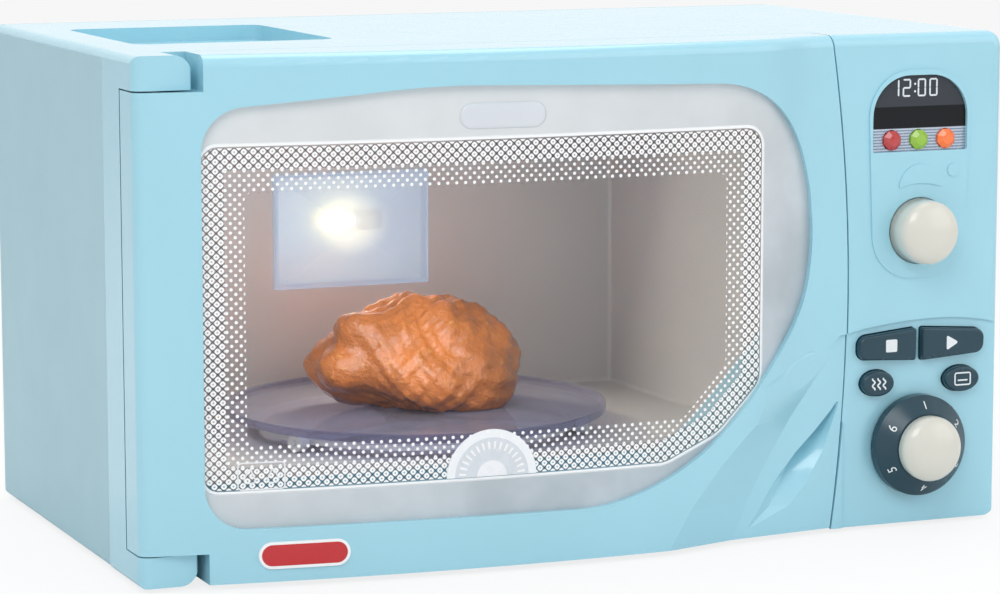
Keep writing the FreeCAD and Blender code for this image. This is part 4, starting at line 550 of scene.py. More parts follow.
class MICROWAVE_OT_shell(Operator):
    """Gives the case, the door and the rear their moulded plastic"""

    bl_idname = "microwave.shell"
    bl_label = "Shell"

    def execute(self, context):
        c = colours()
        dress(plastic("shell_blue", c.shell, rough=0.24, grain=0.012, cloud=0.012, coat=0.5),
              "front_fascia", "door_frame", "top_cover")
        dress(plastic("side_blue", c.side, rough=0.42, grain=0.05, grain_scale=1.4, cloud=0.02),
              "main_housing", "rear_cover", "door_inner_frame", "latch_hook", "battery_door")
        dress(plastic("foot_rubber", (0.16, 0.16, 0.16), rough=0.7, grain=0.08), "feet")
        dress(metal("screw_steel", (0.72, 0.72, 0.72), 0.32), "case_screws", "door_screws", "hinge_pins",
              "axle_pins", "battery_door_screw", "battery_contacts")
        return {"FINISHED"}


WINDOW_TUCK = 2.6  # how far the window reaches under the door's edge
WINDOW_RINGS = 84
UNPRINTED = 40.0  # stands for a place deep inside the pane
RING_ROWS_DEEP = 7.9  # width of the outer rows, the ones with rings
RING_HOLE = 0.25
PRINT_EDGE = 0.09
# Frost colours of the painted shade towards the lower right of the window's border
FROST_SHADE_DARK, FROST_SHADE_PALE = (0.38, 0.44, 0.48), (0.54, 0.60, 0.65)
CREST_X, CREST_Z = -37.5, 158.6
CREST_HALF_WIDE, CREST_HALF_HIGH, CREST_ROUND = 15.8, 4.5, 4.3
CREST_RISE, CREST_SLOPE = 0.7, 2.2


def window_material(colour, pitch, ring, dot):
    """Print of the window. band and pane hold how far a point is inside the printed band and the clear pane.
    Dots stand on a lattice turned by 45 degrees; the outer rows are rings with dark crossing lines between,
    the inner rows are small plain dots."""
    shade = Shade("window_print")
    x, y, z = shade.axes()
    u = ((x + z) * (1 / pitch)).fract() - 0.5
    v = ((x - z) * (1 / pitch)).fract() - 0.5
    away = distance(u, v) * (pitch / math.sqrt(2))
    band = shade.read("band")
    pane = shade.read("pane")
    outer = band.within(RING_ROWS_DEEP, 0.3) * band.beyond(0.1, 0.2)
    in_band = band.beyond(0.4, 0.2) * pane.within(0.2, 0.3)
    rings = away.within(ring + 0.01, PRINT_EDGE) * away.beyond(RING_HOLE, PRINT_EDGE)
    lattice = u.abs().max(v.abs()).beyond(0.435, 0.035) * outer
    white = (rings * outer + away.within(dot, 0.1) * (1 - outer)) * in_band
    border = band.within(0.1, 0.2)
    # Painted highlight: a pale line along the raised step at the printed band's outline
    ledge_highlight = band.beyond(-1.1, 0.2) * band.within(0.15, 0.15)
    skin = shade.principled(Base_Color=(0.35, 0.36, 0.38), Roughness=0.05)
    glass = shade.clear(skin, (0.97, 0.98, 1.0), body=0.02, edge=0.22, bend=0.22)
    cloud = shade.noise(0.035, 3.0, 0.55)
    frost = shade.mix(cloud.step(0.3, 0.75), scaled(linear(colour), 0.93), linear(colour))
    # Painted shade: the frosted border turns darker towards its lower right
    painted_shade_low_right = shade.mix(cloud.step(0.25, 0.8), FROST_SHADE_DARK, FROST_SHADE_PALE)
    frost = shade.mix((x * 0.6 - z).step(-190.0, 10.0), frost, painted_shade_low_right)
    # the painted highlight goes into the frost colour
    frost = shade.mix(ledge_highlight, frost, (0.93, 0.94, 0.95))
    ink = shade.mix(white, (0.012, 0.015, 0.02), (0.93, 0.93, 0.93))
    paint = shade.principled(Base_Color=shade.mix(border, ink, frost), Roughness=cloud * 0.12 + 0.16,
                             Normal=shade.bump(band.beyond(-0.9, 0.3), 0.25))
    cover = white.max(lattice * 0.8 * in_band).max(border * 0.97)
    return shade.finish(shade.blend(cover, glass, paint))


class MICROWAVE_OT_window(Operator):
    """Builds the bowed window with its frosted border and printed dots"""

    bl_idname = "microwave.window"
    bl_label = "Window"

    def execute(self, context):
        edge = rounded_outline(WINDOW_CORNERS, 1.4)
        ahead = np.roll(edge, -1, axis=0) - np.roll(edge, 1, axis=0)
        outward = unit(np.stack([ahead[:, 1], -ahead[:, 0]], 1))
        points, faces, flat = disc_surface(
            edge + WINDOW_TUCK * outward, WINDOW_RINGS,
            lambda x, z: bow_y(x, DOOR_SKIN + 0.02),
            lambda x, z: bow_y(x, DOOR_SKIN + LENS_THICK),
        )
        measured = {}
        for key, corners in (("band", BAND_CORNERS), ("pane", PANE_CORNERS)):
            inside = inside_by(flat, rounded_outline(corners, 1.0))
            measured[key] = np.concatenate([inside, np.full(len(flat), UNPRINTED)])
        window = make_piece("window_glass", points, faces, "door", attributes=measured,
                            sharp=60)
        give(window, window_material(colours().frost, size_mm("dot_pitch"), size_mm("ring_radius"),
                                     size_mm("dot_radius")))
        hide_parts("window_lens")
        self.crest()
        return {"FINISHED"}

    def crest(self):
        """Bare pill above the band: a pillow that rises with the root of the way in from its outline."""
        edge = rounded_box(CREST_X - CREST_HALF_WIDE, CREST_Z - CREST_HALF_HIGH,
                           CREST_X + CREST_HALF_WIDE, CREST_Z + CREST_HALF_HIGH, CREST_ROUND, 0.5)

        def pillow(x, z):
            inner = np.clip(inside_by(np.stack([x, z], 1), edge) / CREST_SLOPE, 0, 1)
            return on_door(x, z) - CREST_RISE * np.sqrt(1 - (1 - inner) ** 2)

        points, faces, _ = disc_surface(edge, 16, pillow, lambda x, z: bow_y(x, DOOR_SKIN + 0.5))
        lozenge = make_piece("window_lozenge", points, faces, "door", sharp=70)
        silver = plastic("lozenge_silver", (0.84, 0.86, 0.88), rough=0.2, grain=0.01, cloud=0.02, coat=0.4)
        give(lozenge, silver)


BADGE_STRAIGHT = 11.15  # half the length of the pill's middle line
BADGE_RIM = 3.6
LABEL_DISC, LABEL_CORE = 13.5, 5.45
TICKS_INNER, TICKS_OUTER, TICKS_HALF_TURN = 9.55, 12.15, 16
SIGN_FRAME = (-131.3, 33.8, -115.3, 43.0)
DROPS_X = (-127.3, -119.3)
DROP_BOTTOM, DROP_TOP, DROP_HALF = 36.0, 41.6, 2.4


class MICROWAVE_OT_marks(Operator):
    """Builds the bare pill, the half disc and the small framed signs on the door"""

    bl_idname = "microwave.marks"
    bl_label = "Door marks"

    def execute(self, context):
        self.badge()
        self.half_disc()
        white = plastic("print_white", (0.93, 0.94, 0.95), rough=0.35, grain=0.005)
        parts = [ribbon(rounded_box(*SIGN_FRAME, 1.2, 0.5), 0.5, on_door, closed=True)]
        for x in DROPS_X:
            drop = [(x - DROP_HALF, DROP_BOTTOM, 1.0), (x + DROP_HALF, DROP_BOTTOM, 1.0), (x, DROP_TOP, 0.6)]
            parts.append(ribbon(rounded_outline(drop, 0.3), 0.45, on_door, closed=True))
        points, faces = collect(parts)
        give(make_piece("window_signs", points, faces, "door", smooth=False), white)
        return {"FINISHED"}

    def badge(self):
        """Red ground with a white rim beyond BADGE_RIM from the pill's middle line."""
        red = linear(colours().badge)
        shade = Shade("badge_red")
        x, y, z = shade.axes()
        out = distance(((x - BADGE_X).abs() - BADGE_STRAIGHT).max(0.0), z - BADGE_Z)
        ground = shade.mix(shade.noise(0.2, 2.0), scaled(red, 0.9), red)
        colour = shade.mix(out.step(BADGE_RIM, BADGE_RIM + 0.15), ground, (0.9, 0.9, 0.9))
        rim = shade.bump(out.within(BADGE_RIM, 0.15), 0.12)
        dress(shade.finish(shade.principled(Base_Color=colour, Roughness=0.25, Coat_Weight=0.4, Normal=rim)),
              "badge_plate")

    def half_disc(self):
        """Pale core and white ticks, even in the angle about the disc's centre, on a grey ground."""
        shade = Shade("half_disc_print")
        x, y, z = shade.axes()
        across, up = x - LABEL_X, z - LABEL_BOTTOM
        out = distance(across, up)
        tick = (up.math("ARCTAN2", across) * (TICKS_HALF_TURN / math.pi)).fract() - 0.5
        ticks = tick.abs().within(0.17, 0.05) * out.beyond(TICKS_INNER, 0.15) * out.within(TICKS_OUTER, 0.15)
        colour = shade.mix(out.within(LABEL_DISC, 0.1), (0.86, 0.88, 0.9), (0.66, 0.70, 0.74))
        colour = shade.mix(ticks, colour, (0.9, 0.9, 0.9))
        colour = shade.mix(out.within(LABEL_CORE, 0.15), colour, (0.85, 0.86, 0.88))
        dress(shade.finish(shade.principled(Base_Color=colour, Roughness=shade.noise(0.3) * 0.1 + 0.22)),
              "window_label")


# Sides of the two domes as (radius, distance from the face behind them), and how high the domes rise
TIMER_SIDE, TIMER_RISE = [(0, -0.5), (11.85, -0.5), (11.9, -0.45), (11.6, 7.5)], 5.3
CAP_SIDE, CAP_RISE = [(0, 9.35), (11.6, 9.35), (11.85, 9.45), (11.9, 9.7), (12.0, 12.0)], 5.5
# The dial's skirt runs from its foot to its top, each as (radius, distance from the panel)
SKIRT_FOOT, SKIRT_TOP = (17.8, 5.0), (12.6, 9.3)
NUMBER_RADIUS = 15.2
NUMBER_LEAN = 0.8  # how much radius a number's height takes up on the cone
FONT_PER_HEIGHT = 1.35


def domed(side, rise):
    """Profile that ends in a quarter of an ellipse: (r cos t, h + rise sin t) from its last point (r, h)."""
    radius, height = side[-1]
    t = np.linspace(0, math.pi / 2, 28)[1:-1]
    return side + list(zip(radius * np.cos(t), height + rise * np.sin(t))) + [(0, height + rise)]


class MICROWAVE_OT_knobs(Operator):
    """Builds the domes of the timer and the power dial and the dial's numbers"""

    bl_idname = "microwave.knobs"
    bl_label = "Knobs"

    def execute(self, context):
        c = colours()
        cream = plastic("knob_cream", c.cream, rough=0.22, grain=0.01, cloud=0.02, coat=0.35)
        dress(plastic("knob_slate", c.slate, rough=0.28, grain=0.02, cloud=0.05), "power_dial")
        for name, body, node, profile, place in (
            ("timer_dome", "timer", "timer_knob", domed(TIMER_SIDE, TIMER_RISE), (CONTROL_X, PAD_Y, TIMER_Z)),
            ("dial_dome", "dial", "dial_cap", domed(CAP_SIDE, CAP_RISE), (CONTROL_X, PANEL_Y, DIAL_Z)),
        ):
            points, faces = revolve(profile, 96, place, (0, -1, 0))
            dome = give(make_piece(name, points, faces, body, sharp=50), cream)
            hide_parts(node)
        self.number_ring(size_mm("number_height"))
        return {"FINISHED"}

    def number_ring(self, height):
        """Numbers 1 to 6 on the skirt's cone: a flat sign's point (across, up) goes to angle across / radius
        and along the cone's slope."""
        slope = (SKIRT_TOP[1] - SKIRT_FOOT[1]) / (SKIRT_FOOT[0] - SKIRT_TOP[0])
        gather = []
        for i in range(6):
            flat, faces = self.flat_number(str(i + 1), height * FONT_PER_HEIGHT)
            radius = NUMBER_RADIUS + flat[:, 1] * NUMBER_LEAN
            angle = math.radians(60 * i) + flat[:, 0] / NUMBER_RADIUS
            depth = SKIRT_FOOT[1] + (SKIRT_FOOT[0] - radius) * slope
            for lift, order in ((0.1, 1), (-0.05, -1)):
                points = np.stack([CONTROL_X + radius * np.sin(angle), PANEL_Y - depth - lift,
                                   DIAL_Z + radius * np.cos(angle)], 1)
                gather.append((points, [f[::order] for f in faces]))
        points, faces = collect(gather)
        numbers = make_piece("dial_numbers", points, faces, "dial", smooth=False)
        give(numbers, plastic("number_white", (0.92, 0.93, 0.93), rough=0.35, grain=0.004))

    def flat_number(self, words, size):
        """Points (across, up) and faces of a line of text about its middle."""
        text = bpy.data.curves.new("number", "FONT")
        text.body = words
        text.align_x = "CENTER"
        text.align_y = "CENTER"
        text.size = size
        text.resolution_u = 4
        made = bpy.data.objects.new("number", text)
        bpy.context.scene.collection.objects.link(made)
        bpy.context.view_layer.update()
        mesh = bpy.data.meshes.new_from_object(made)
        flat = np.zeros(len(mesh.vertices) * 3)
        mesh.vertices.foreach_get("co", flat)
        faces = [tuple(p.vertices) for p in mesh.polygons]
        bpy.data.objects.remove(made)
        bpy.data.meshes.remove(mesh)
        return flat.reshape(-1, 3)[:, :2], faces


SEGMENTS = {
    "top": [(0, 1), (1, 1)], "middle": [(0, 0.5), (1, 0.5)], "bottom": [(0, 0), (1, 0)],
    "left_high": [(0, 0.5), (0, 1)], "left_low": [(0, 0), (0, 0.5)],
    "right_high": [(1, 0.5), (1, 1)], "right_low": [(1, 0), (1, 0.5)],
}
DIGITS = {
    "1": ["right_high", "right_low"],
    "2": ["top", "right_high", "middle", "left_low", "bottom"],
    "0": ["top", "right_high", "right_low", "bottom", "left_low", "left_high"],
}
SCREEN_BOTTOM = LENS_BOTTOM + 7.9
DIGITS_BOTTOM = LENS_BOTTOM + 11.7
COLON_Z = (LENS_BOTTOM + 13.3, LENS_BOTTOM + 16.0)
COLON_RADIUS = 0.42
DIGIT_STROKE = 0.62
RIB_PITCH = 1.05
JEWEL_BORDER = 5.5  # half-way between the middle jewel and its neighbours


class MICROWAVE_OT_display(Operator):
    """Builds the digits of the display and dresses its lens, its light strip and the jewels"""

    bl_idname = "microwave.display"
    bl_label = "Display"

    def execute(self, context):
        shade = Shade("display_dark")
        x, y, z = shade.axes()
        colour = shade.mix(z.beyond(SCREEN_BOTTOM, 0.2), (0.006, 0.007, 0.009), (0.045, 0.052, 0.062))
        dress(shade.finish(shade.principled(Base_Color=colour, Roughness=shade.noise(0.5, 2.0) * 0.06 + 0.12,
                                            Specular_IOR_Level=0.25)), "display_lens")
        self.digits()

        shade = Shade("strip_silver")
        x, y, z = shade.axes()
        wave = ((z - STRIP_BOTTOM) * (1 / RIB_PITCH)).fract()
        # Painted highlight: a bright stripe along each rib of the strip
        rib_highlight = wave.step(0.2, 0.5) * wave.step(1.0, 0.7)
        colour = shade.mix(rib_highlight, linear((0.50, 0.57, 0.66)), linear((0.84, 0.88, 0.92)))
        dress(shade.finish(shade.principled(Base_Color=colour, Metallic=0.35,
                                            Roughness=shade.noise(0.4) * 0.1 + 0.22)), "led_strip")

        shade = Shade("jewel_colours")
        x, y, z = shade.axes()
        green = x.beyond(CONTROL_X - JEWEL_BORDER, 0.1)
        amber = x.beyond(CONTROL_X + JEWEL_BORDER, 0.1)
        colour = shade.mix(green, linear((0.68, 0.04, 0.04)), linear((0.52, 0.70, 0.06)))
        colour = shade.mix(amber, colour, linear((0.95, 0.42, 0.05)))
        # The facet noise varies the roughness and paints faint white glints into the colour; the faint
        # emission is a painted glow
        facets_and_glints = shade.noise(0.6, 2.0)
        dress(shade.finish(shade.principled(Base_Color=shade.mix(facets_and_glints * 0.1, colour, (0.9, 0.9, 0.9)),
                                            Roughness=facets_and_glints * 0.05 + 0.05, Coat_Weight=0.3,
                                            Emission_Color=colour, Emission_Strength=0.15)), "led_jewels")
        dress(plastic("disc_print", (0.16, 0.18, 0.22), rough=0.5), "display_disc")
        return {"FINISHED"}

    def digits(self):
        """12:00, each digit's strokes between the corners of a box and a fifth shorter than its sides."""
        height = size_mm("digit_height")
        width = height * 0.58
        start = CONTROL_X - width * 3.3
        face = flat_at(DISPLAY_FACE)
        parts = []
        for i, digit in enumerate("1200"):
            left = start + i * width * 1.4 + (width * 0.4 if i > 1 else 0)
            for name in DIGITS[digit]:
                path = np.array(SEGMENTS[name], float) * (width * 0.82, height) + (left, DIGITS_BOTTOM)
                shorter = path.mean(0) + (path - path.mean(0)) * 0.8
                parts.append(ribbon(shorter, DIGIT_STROKE, face, lift=0.05, ends=2))
        a = np.linspace(0, 2 * math.pi, 10, endpoint=False)
        for z in COLON_Z:
            spot = (start + width * 2.8, z) + COLON_RADIUS * np.stack([np.cos(a), np.sin(a)], 1)
            parts.append(plate(spot, face, 0.05))
        points, faces = collect(parts)
        digits = make_piece("display_digits", points, faces, "case", smooth=False)
        give(digits, plastic("digit_white", (0.88, 0.91, 0.93), rough=0.4, grain=0.002))


# Signs on the buttons, as left, bottom, right and top
STOP_SQUARE = (116.7, 65.8, 121.3, 70.4)
START_ARROW = [(141.9, 65.1, 0.4), (146.9, 67.9, 0.5), (141.9, 70.7, 0.4)]
GRILL_X, GRILL_Z, WAVE_GAP = 114.05, 54.35, 2.2
OVEN_BOX, OVEN_BAR = (145.6, 51.9, 152.0, 56.3), [(147.0, 53.6), (150.6, 53.6)]
SIGN_LIFT = 0.08


class MICROWAVE_OT_buttons(Operator):
    """Dresses the four push buttons and gives each a plain sign"""

    bl_idname = "microwave.buttons"
    bl_label = "Buttons"

    def execute(self, context):
        dress(plastic("button_slate", colours().slate, rough=0.26, grain=0.015, cloud=0.05),
              "stop_button", "start_button", "grill_button", "oven_button")
        white = plastic("sign_white", (0.90, 0.92, 0.93), rough=0.35, grain=0.003)
        face = flat_at(BUTTON_Y)
        stroke = size_mm("stroke")
        t = np.linspace(-2.6, 2.6, 15)
        waves = [np.stack([GRILL_X + shift + 0.5 * np.sin(t * 1.9), GRILL_Z + t * 0.75], 1)
                 for shift in (-WAVE_GAP, 0.0, WAVE_GAP)]
        for name, body, parts in (
            ("stop_sign", "stop", [plate(rounded_box(*STOP_SQUARE, 0.4, 0.4), face, SIGN_LIFT)]),
            ("start_sign", "start", [plate(rounded_outline(START_ARROW, 0.4), face, SIGN_LIFT)]),
            ("grill_sign", "grill", [ribbon(wave, stroke * 0.8, face, SIGN_LIFT) for wave in waves]),
            ("oven_sign", "oven", [
                ribbon(rounded_box(*OVEN_BOX, 0.6, 0.4), stroke * 0.7, face, SIGN_LIFT, closed=True),
                ribbon(OVEN_BAR, stroke * 0.7, face, SIGN_LIFT),
            ]),
        ):
            points, faces = collect(parts)
            give(make_piece(name, points, faces, body, smooth=False), white)
        return {"FINISHED"}


BULB_GLASS_X = -26.5  # the bulb's glass lies to the left, its cap to the right
HALO_INNER, HALO_OUTER, HALO_FLAT = 4.0, 17.0, math.sqrt(1.3)


class MICROWAVE_OT_oven(Operator):
    """Dresses the oven's liner, its lamp and the turntable"""

    bl_idname = "microwave.oven"
    bl_label = "Oven"

    def execute(self, context):
        dress(plastic("liner_grey", colours().liner, rough=0.42, grain=0.03, cloud=0.03), "oven_liner")
        self.lamp_cover()
        self.turntable_plate()
        dress(plastic("reflector_white", (0.92, 0.90, 0.84), rough=0.3), "lamp_reflector")
        dress(plastic("ring_white", (0.90, 0.90, 0.88), rough=0.35), "roller_ring", "roller_1", "roller_2",
              "roller_3", "spindle_bush", "drive_spindle")
        shade = Shade("bulb_glow")
        x, y, z = shade.axes()
        glass = x.within(BULB_GLASS_X, 0.5)
        colour = shade.mix(glass, linear((0.6, 0.6, 0.6)), linear((1.0, 0.95, 0.78)))
        glow = shade.mix(glass, (0, 0, 0), linear((1.0, 0.90, 0.62)))
        dress(shade.finish(shade.principled(Base_Color=colour, Roughness=shade.noise(0.4) * 0.1 + 0.15,
                                            Emission_Color=glow, Emission_Strength=4.0)), "lamp_bulb")
        dress(plastic("holder_dark", (0.17, 0.17, 0.18), rough=0.4), "bulb_holder")
        return {"FINISHED"}

    def lamp_cover(self):
        """Clear cover with a warm halo: its glow falls off with the distance from the bulb."""
        bulb = centre("lamp_bulb")
        shade = Shade("lamp_clear")
        x, y, z = shade.axes()
        near = distance(x - bulb[0], (z - bulb[2]) * HALO_FLAT).step(HALO_OUTER, HALO_INNER)
        glow = shade.mix(near, (0.28, 0.31, 0.37), linear((1.0, 0.95, 0.84)))
        haze = shade.noise(0.05) * 0.06 + 0.04
        skin = shade.principled(Base_Color=linear((0.80, 0.88, 0.95)), Roughness=haze, Emission_Color=glow,
                                Emission_Strength=1.05)
        dress(shade.finish(shade.clear(skin, (0.9, 0.95, 1.0), body=0.32, edge=0.5)), "lamp_window")

    def turntable_plate(self):
        """Clear plate whose rim catches gloss."""
        tint = linear((0.88, 0.88, 0.95))
        shade = Shade("plate_clear")
        skin = shade.principled(Base_Color=scaled(tint, 0.5), Roughness=shade.noise(0.05, 2.0) * 0.06 + 0.04)
        dress(shade.finish(shade.clear(skin, tint, body=0.1, edge=0.55)), "turntable_plate")


# Lumps of the bird as shares of its size: centre x, y, z, half lengths, then yaw and tilt in degrees
LUMPS = [
    (0.07, 0.0, 0.48, 0.40, 0.40, 0.48, 0, 10), (-0.27, 0.02, 0.40, 0.21, 0.27, 0.26, 0, 14),
    (0.18, -0.30, 0.32, 0.24, 0.17, 0.23, 16, 10), (0.16, 0.30, 0.34, 0.26, 0.17, 0.25, -16, 10),
    (-0.12, -0.35, 0.42, 0.19, 0.12, 0.17, -18, 24), (-0.12, 0.33, 0.46, 0.19, 0.11, 0.18, 18, -16),
    (-0.18, -0.20, 0.66, 0.15, 0.15, 0.14, 0, 22), (-0.31, -0.20, 0.765, 0.06, 0.09, 0.085, 0, 0),
    (-0.36, -0.24, 0.45, 0.10, 0.14, 0.15, 0, 0),
]
LUMP_BLEND = 2.0
BIRD_SIZE = np.array([90.0, 58.0, 51.5])
BIRD_SCALE = 0.945
BIRD_YAW = -8.0
BIRD_SINK, BIRD_LIFT, BIRD_CLEAR = 0.12, 0.7, 0.02
BUMP_WAVES = ((7, 5, 3), (11, -6, 8), (-9, 13, 7), (17, 9, -14), (29, -21, 25), (-33, 27, 31))
BUMP_HEIGHT = 0.5


def roast_surface(size, rings, sides):
    """Blended lumps seen from the middle: along each ray the skin is where the soft least of the lumps'
    distances is nought, found by halving. Creases and bumps come from sines of the rays."""
    polar = np.linspace(0, math.pi, rings)[1:-1]
    around = np.linspace(0, 2 * math.pi, sides, endpoint=False)
    p, q = np.meshgrid(polar, around, indexing="ij")
    rays = np.stack([np.sin(p) * np.cos(q), np.sin(p) * np.sin(q), np.cos(p)], -1).reshape(-1, 3)
    rays = np.vstack([rays, [[0, 0, 1.0], [0, 0, -1.0]]])
    middle = np.array([0.02, 0, 0.42]) * size

    def field(points):
        total = np.zeros(len(points))
        for x, y, z, a, b, c, yaw, tilt in LUMPS:
            along, across, up = (points - np.array([x, y, z]) * size).T
            along, across = turned(along, across, -yaw)
            along, up = turned(along, up, tilt)
            half = np.array([a, b, c]) * size
            reach = np.linalg.norm(np.stack([along, across, up], 1) / half, axis=1)
            total += np.exp(-(reach - 1) * half.min() / LUMP_BLEND)
        return -LUMP_BLEND * np.log(total)

    low = np.zeros(len(rays))
    high = np.full(len(rays), size[0])
    for _ in range(26):
        half = (low + high) / 2
        outside = field(middle + rays * half[:, None]) > 0
        high = np.where(outside, half, high)
        low = np.where(outside, low, half)
    bumps = np.zeros(len(rays))
    for k, wave in enumerate(BUMP_WAVES):
        bumps += np.sin(rays @ np.array(wave, float) + 1.7 * k) / (1 + 0.3 * k)
    return middle + rays * (low + BUMP_HEIGHT * bumps)[:, None], capped_faces(rings - 2, sides)


class MICROWAVE_OT_food(Operator):
    """Builds the roast bird that stands on the turntable"""

    bl_idname = "microwave.food"
    bl_label = "Play food"

    def execute(self, context):
        foot = span("roast_chicken")[0][2]
        middle = centre("roast_chicken")
        points, faces = roast_surface(BIRD_SIZE * BIRD_SCALE, 110, 180)
        x, y = turned(points[:, 0], points[:, 1], BIRD_YAW)
        z = np.maximum(points[:, 2] - BIRD_SINK * BIRD_SIZE[2] + foot + BIRD_LIFT, foot + BIRD_CLEAR)
        points = np.stack([x + middle[0], y + middle[1], z], 1)
        bird = make_piece("roast_bird", points, faces, "food")
        shade = Shade("roast_glaze")
        glaze = linear(colours().roast)
        patch = shade.noise(0.05, 4.0, 0.6)
        bumps = shade.noise(0.3, 4.0, 0.65)
        colour = shade.mix(patch.step(0.35, 0.7), scaled(glaze, 0.75), scaled(glaze, 1.2))
        colour = shade.mix(bumps.step(0.6, 0.75), colour, linear((0.93, 0.66, 0.32)))
        give(bird, shade.finish(shade.principled(Base_Color=colour, Roughness=bumps * 0.2 + 0.12,
                                                 Coat_Weight=0.7, Normal=shade.bump(bumps, 1.6))))
        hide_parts("roast_chicken")
        return {"FINISHED"}


class MICROWAVE_OT_works(Operator):
    """Dresses the parts behind the panel, under the oven and in the battery bay"""

    bl_idname = "microwave.works"
    bl_label = "Works"

    def execute(self, context):
        dress(plastic("gear_nylon", (0.88, 0.86, 0.80), rough=0.4, grain=0.03), "motor_pinion", "idler_gear",
              "drive_gear", "timer_gear", "timer_shaft", "dial_shaft", "door_catch")
        dress(plastic("gearbox_white", (0.86, 0.86, 0.85), rough=0.45),
              "gearbox_base", "gearbox_lid", "mech_plate")
        dress(plastic("works_dark", (0.12, 0.12, 0.13), rough=0.45, grain=0.03),
              "rotary_switch", "tact_switches", "battery_box", "speaker")
        dress(metal("motor_steel", (0.66, 0.66, 0.68)), "turntable_motor", "motor_shaft")
        dress(plastic("board_green", (0.10, 0.34, 0.20), rough=0.35, grain=0.01, cloud=0.1), "circuit_board")
        return {"FINISHED"}


# Stage, in metres
FLOOR_HALF = 4.0
SOFT_LIGHT = 0.62
WHITE = (1.0, 1.0, 1.0)
BODY_MIDDLE = (0, 0, 0.09)
# Each lamp's name, place, size, watts, the point it looks at, and its colour
LAMPS = (
    ("key", (-0.9, -1.3, 1.5), 1.1, 14.0, BODY_MIDDLE, WHITE),
    ("fill", (1.3, -1.2, 0.8), 1.4, 6.0, BODY_MIDDLE, WHITE),
    ("above", (0.1, 0.35, 1.7), 1.3, 11.5, BODY_MIDDLE, WHITE),
    ("oven_front", (-0.06, -0.065, 0.105), 0.08, 0.056, (-0.04, 0.10, 0.06), WHITE),
    ("oven_bulb", (-0.033, 0.055, 0.101), 0.02, 0.13, (-0.04, -0.05, 0.06), (1.0, 0.86, 0.62)),
)
CAMERA_PLACE = (-0.4968, -1.2052, 0.2659)
CAMERA_YAW, CAMERA_PITCH, CAMERA_ROLL = 22.412, -8.049, 0.084
CAMERA_LENS, SENSOR_WIDTH = 3.5308 * 36.0, 36.0


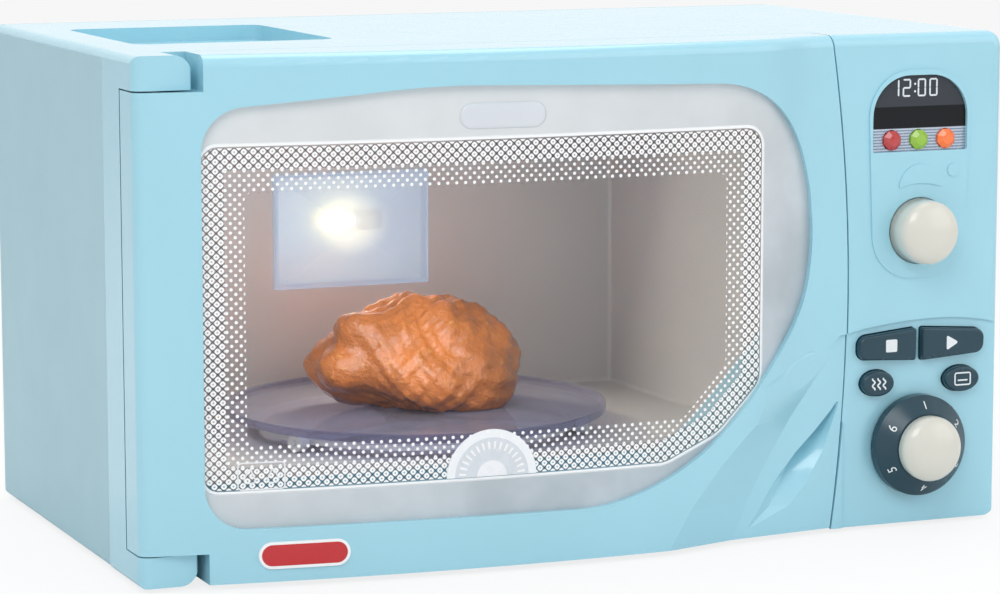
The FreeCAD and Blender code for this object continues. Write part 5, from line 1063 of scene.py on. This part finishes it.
class MICROWAVE_OT_stage(Operator):
    """Sets the pale floor, the soft lamps and the camera of the photograph"""

    bl_idname = "microwave.stage"
    bl_label = "Stage"

    def execute(self, context):
        self.floor()
        self.world()
        for lamp in LAMPS:
            self.lamp(*lamp)
        self.camera()
        return {"FINISHED"}

    def floor(self):
        """Pale floor that keeps the object's shadow and shows nearly white to the camera."""
        mesh = bpy.data.meshes.new("floor")
        h = FLOOR_HALF
        mesh.from_pydata([(-h, -h, 0), (h, -h, 0), (h, h, 0), (-h, h, 0)], [], [(0, 1, 2, 3)])
        ground = bpy.data.objects.new("floor", mesh)
        bpy.context.scene.collection.objects.link(ground)
        shade = Shade("floor_pale")
        diffuse = shade.principled(Base_Color=(0.86, 0.86, 0.86), Roughness=0.8)
        white = shade.node("ShaderNodeEmission", {}, {"Color": WHITE, "Strength": 1.0})
        seen = shade.node("ShaderNodeLightPath", output="Is Camera Ray")
        give(ground, shade.finish(shade.blend(seen * 0.82, diffuse, white)))

    def world(self):
        """White where the camera, gloss or glass sees it, and a softer light elsewhere."""
        shade = Shade("studio", world=True)
        soft = shade.node("ShaderNodeBackground", {}, {"Color": (0.95, 0.97, 1.0), "Strength": SOFT_LIGHT})
        white = shade.node("ShaderNodeBackground", {}, {"Color": WHITE, "Strength": 1.0})
        camera, through, gloss = (shade.node("ShaderNodeLightPath", output=f"Is {ray} Ray")
                                  for ray in ("Camera", "Transmission", "Glossy"))
        bpy.context.scene.world = shade.finish(shade.blend(camera.max(through).max(gloss), soft, white))

    def lamp(self, name, place, size, watts, aim, colour):
        data = bpy.data.lights.new(name, "AREA")
        data.size = size
        data.energy = watts
        data.color = colour
        lamp = bpy.data.objects.new(name, data)
        lamp.location = place
        lamp.rotation_mode = "QUATERNION"
        lamp.rotation_quaternion = (Vector(aim) - Vector(place)).to_track_quat("-Z", "Y")
        lamp.visible_camera = False
        lamp.visible_glossy = name != "oven_bulb"
        bpy.context.scene.collection.objects.link(lamp)

    def camera(self):
        data = bpy.data.cameras.new("photo_camera")
        data.sensor_fit = "HORIZONTAL"
        data.sensor_width = SENSOR_WIDTH
        data.lens = CAMERA_LENS
        data.clip_start = 0.05
        data.clip_end = 20.0
        camera = bpy.data.objects.new("photo_camera", data)
        camera.location = CAMERA_PLACE
        camera.rotation_mode = "XYZ"
        camera.rotation_euler = [math.radians(a) for a in (90 + CAMERA_PITCH, CAMERA_ROLL, -CAMERA_YAW)]
        bpy.context.scene.collection.objects.link(camera)
        bpy.context.scene.camera = camera


class MICROWAVE_PT_looks(Panel):
    """Lists the pieces of the toy microwave"""

    bl_idname = "MICROWAVE_PT_looks"
    bl_label = "Toy Microwave"
    bl_space_type = "VIEW_3D"
    bl_region_type = "UI"
    bl_category = "Microwave"

    def draw(self, context):
        for made in BUILDERS:
            self.layout.operator(made.bl_idname)
        for group in (context.scene.microwave_colours, context.scene.microwave_sizes):
            for name in group.bl_rna.properties.keys():
                if name not in ("rna_type", "name"):
                    self.layout.prop(group, name)


BUILDERS = (
    MICROWAVE_OT_shell, MICROWAVE_OT_window, MICROWAVE_OT_marks, MICROWAVE_OT_knobs, MICROWAVE_OT_display,
    MICROWAVE_OT_buttons, MICROWAVE_OT_oven, MICROWAVE_OT_food, MICROWAVE_OT_works, MICROWAVE_OT_stage,
)
CLASSES = (MicrowaveColours, MicrowaveSizes, *BUILDERS, MICROWAVE_PT_looks)


def register():
    for made in CLASSES:
        bpy.utils.register_class(made)
    bpy.types.Scene.microwave_colours = PointerProperty(type=MicrowaveColours)
    bpy.types.Scene.microwave_sizes = PointerProperty(type=MicrowaveSizes)


def unregister():
    del bpy.types.Scene.microwave_sizes
    del bpy.types.Scene.microwave_colours
    for made in reversed(CLASSES):
        bpy.utils.unregister_class(made)


def main():
    """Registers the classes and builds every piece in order."""
    register()
    bpy.context.scene.view_settings.view_transform = "Standard"
    for made in BUILDERS:
        group, name = made.bl_idname.split(".")
        getattr(getattr(bpy.ops, group), name)()


if __name__ == "__main__":
    main()
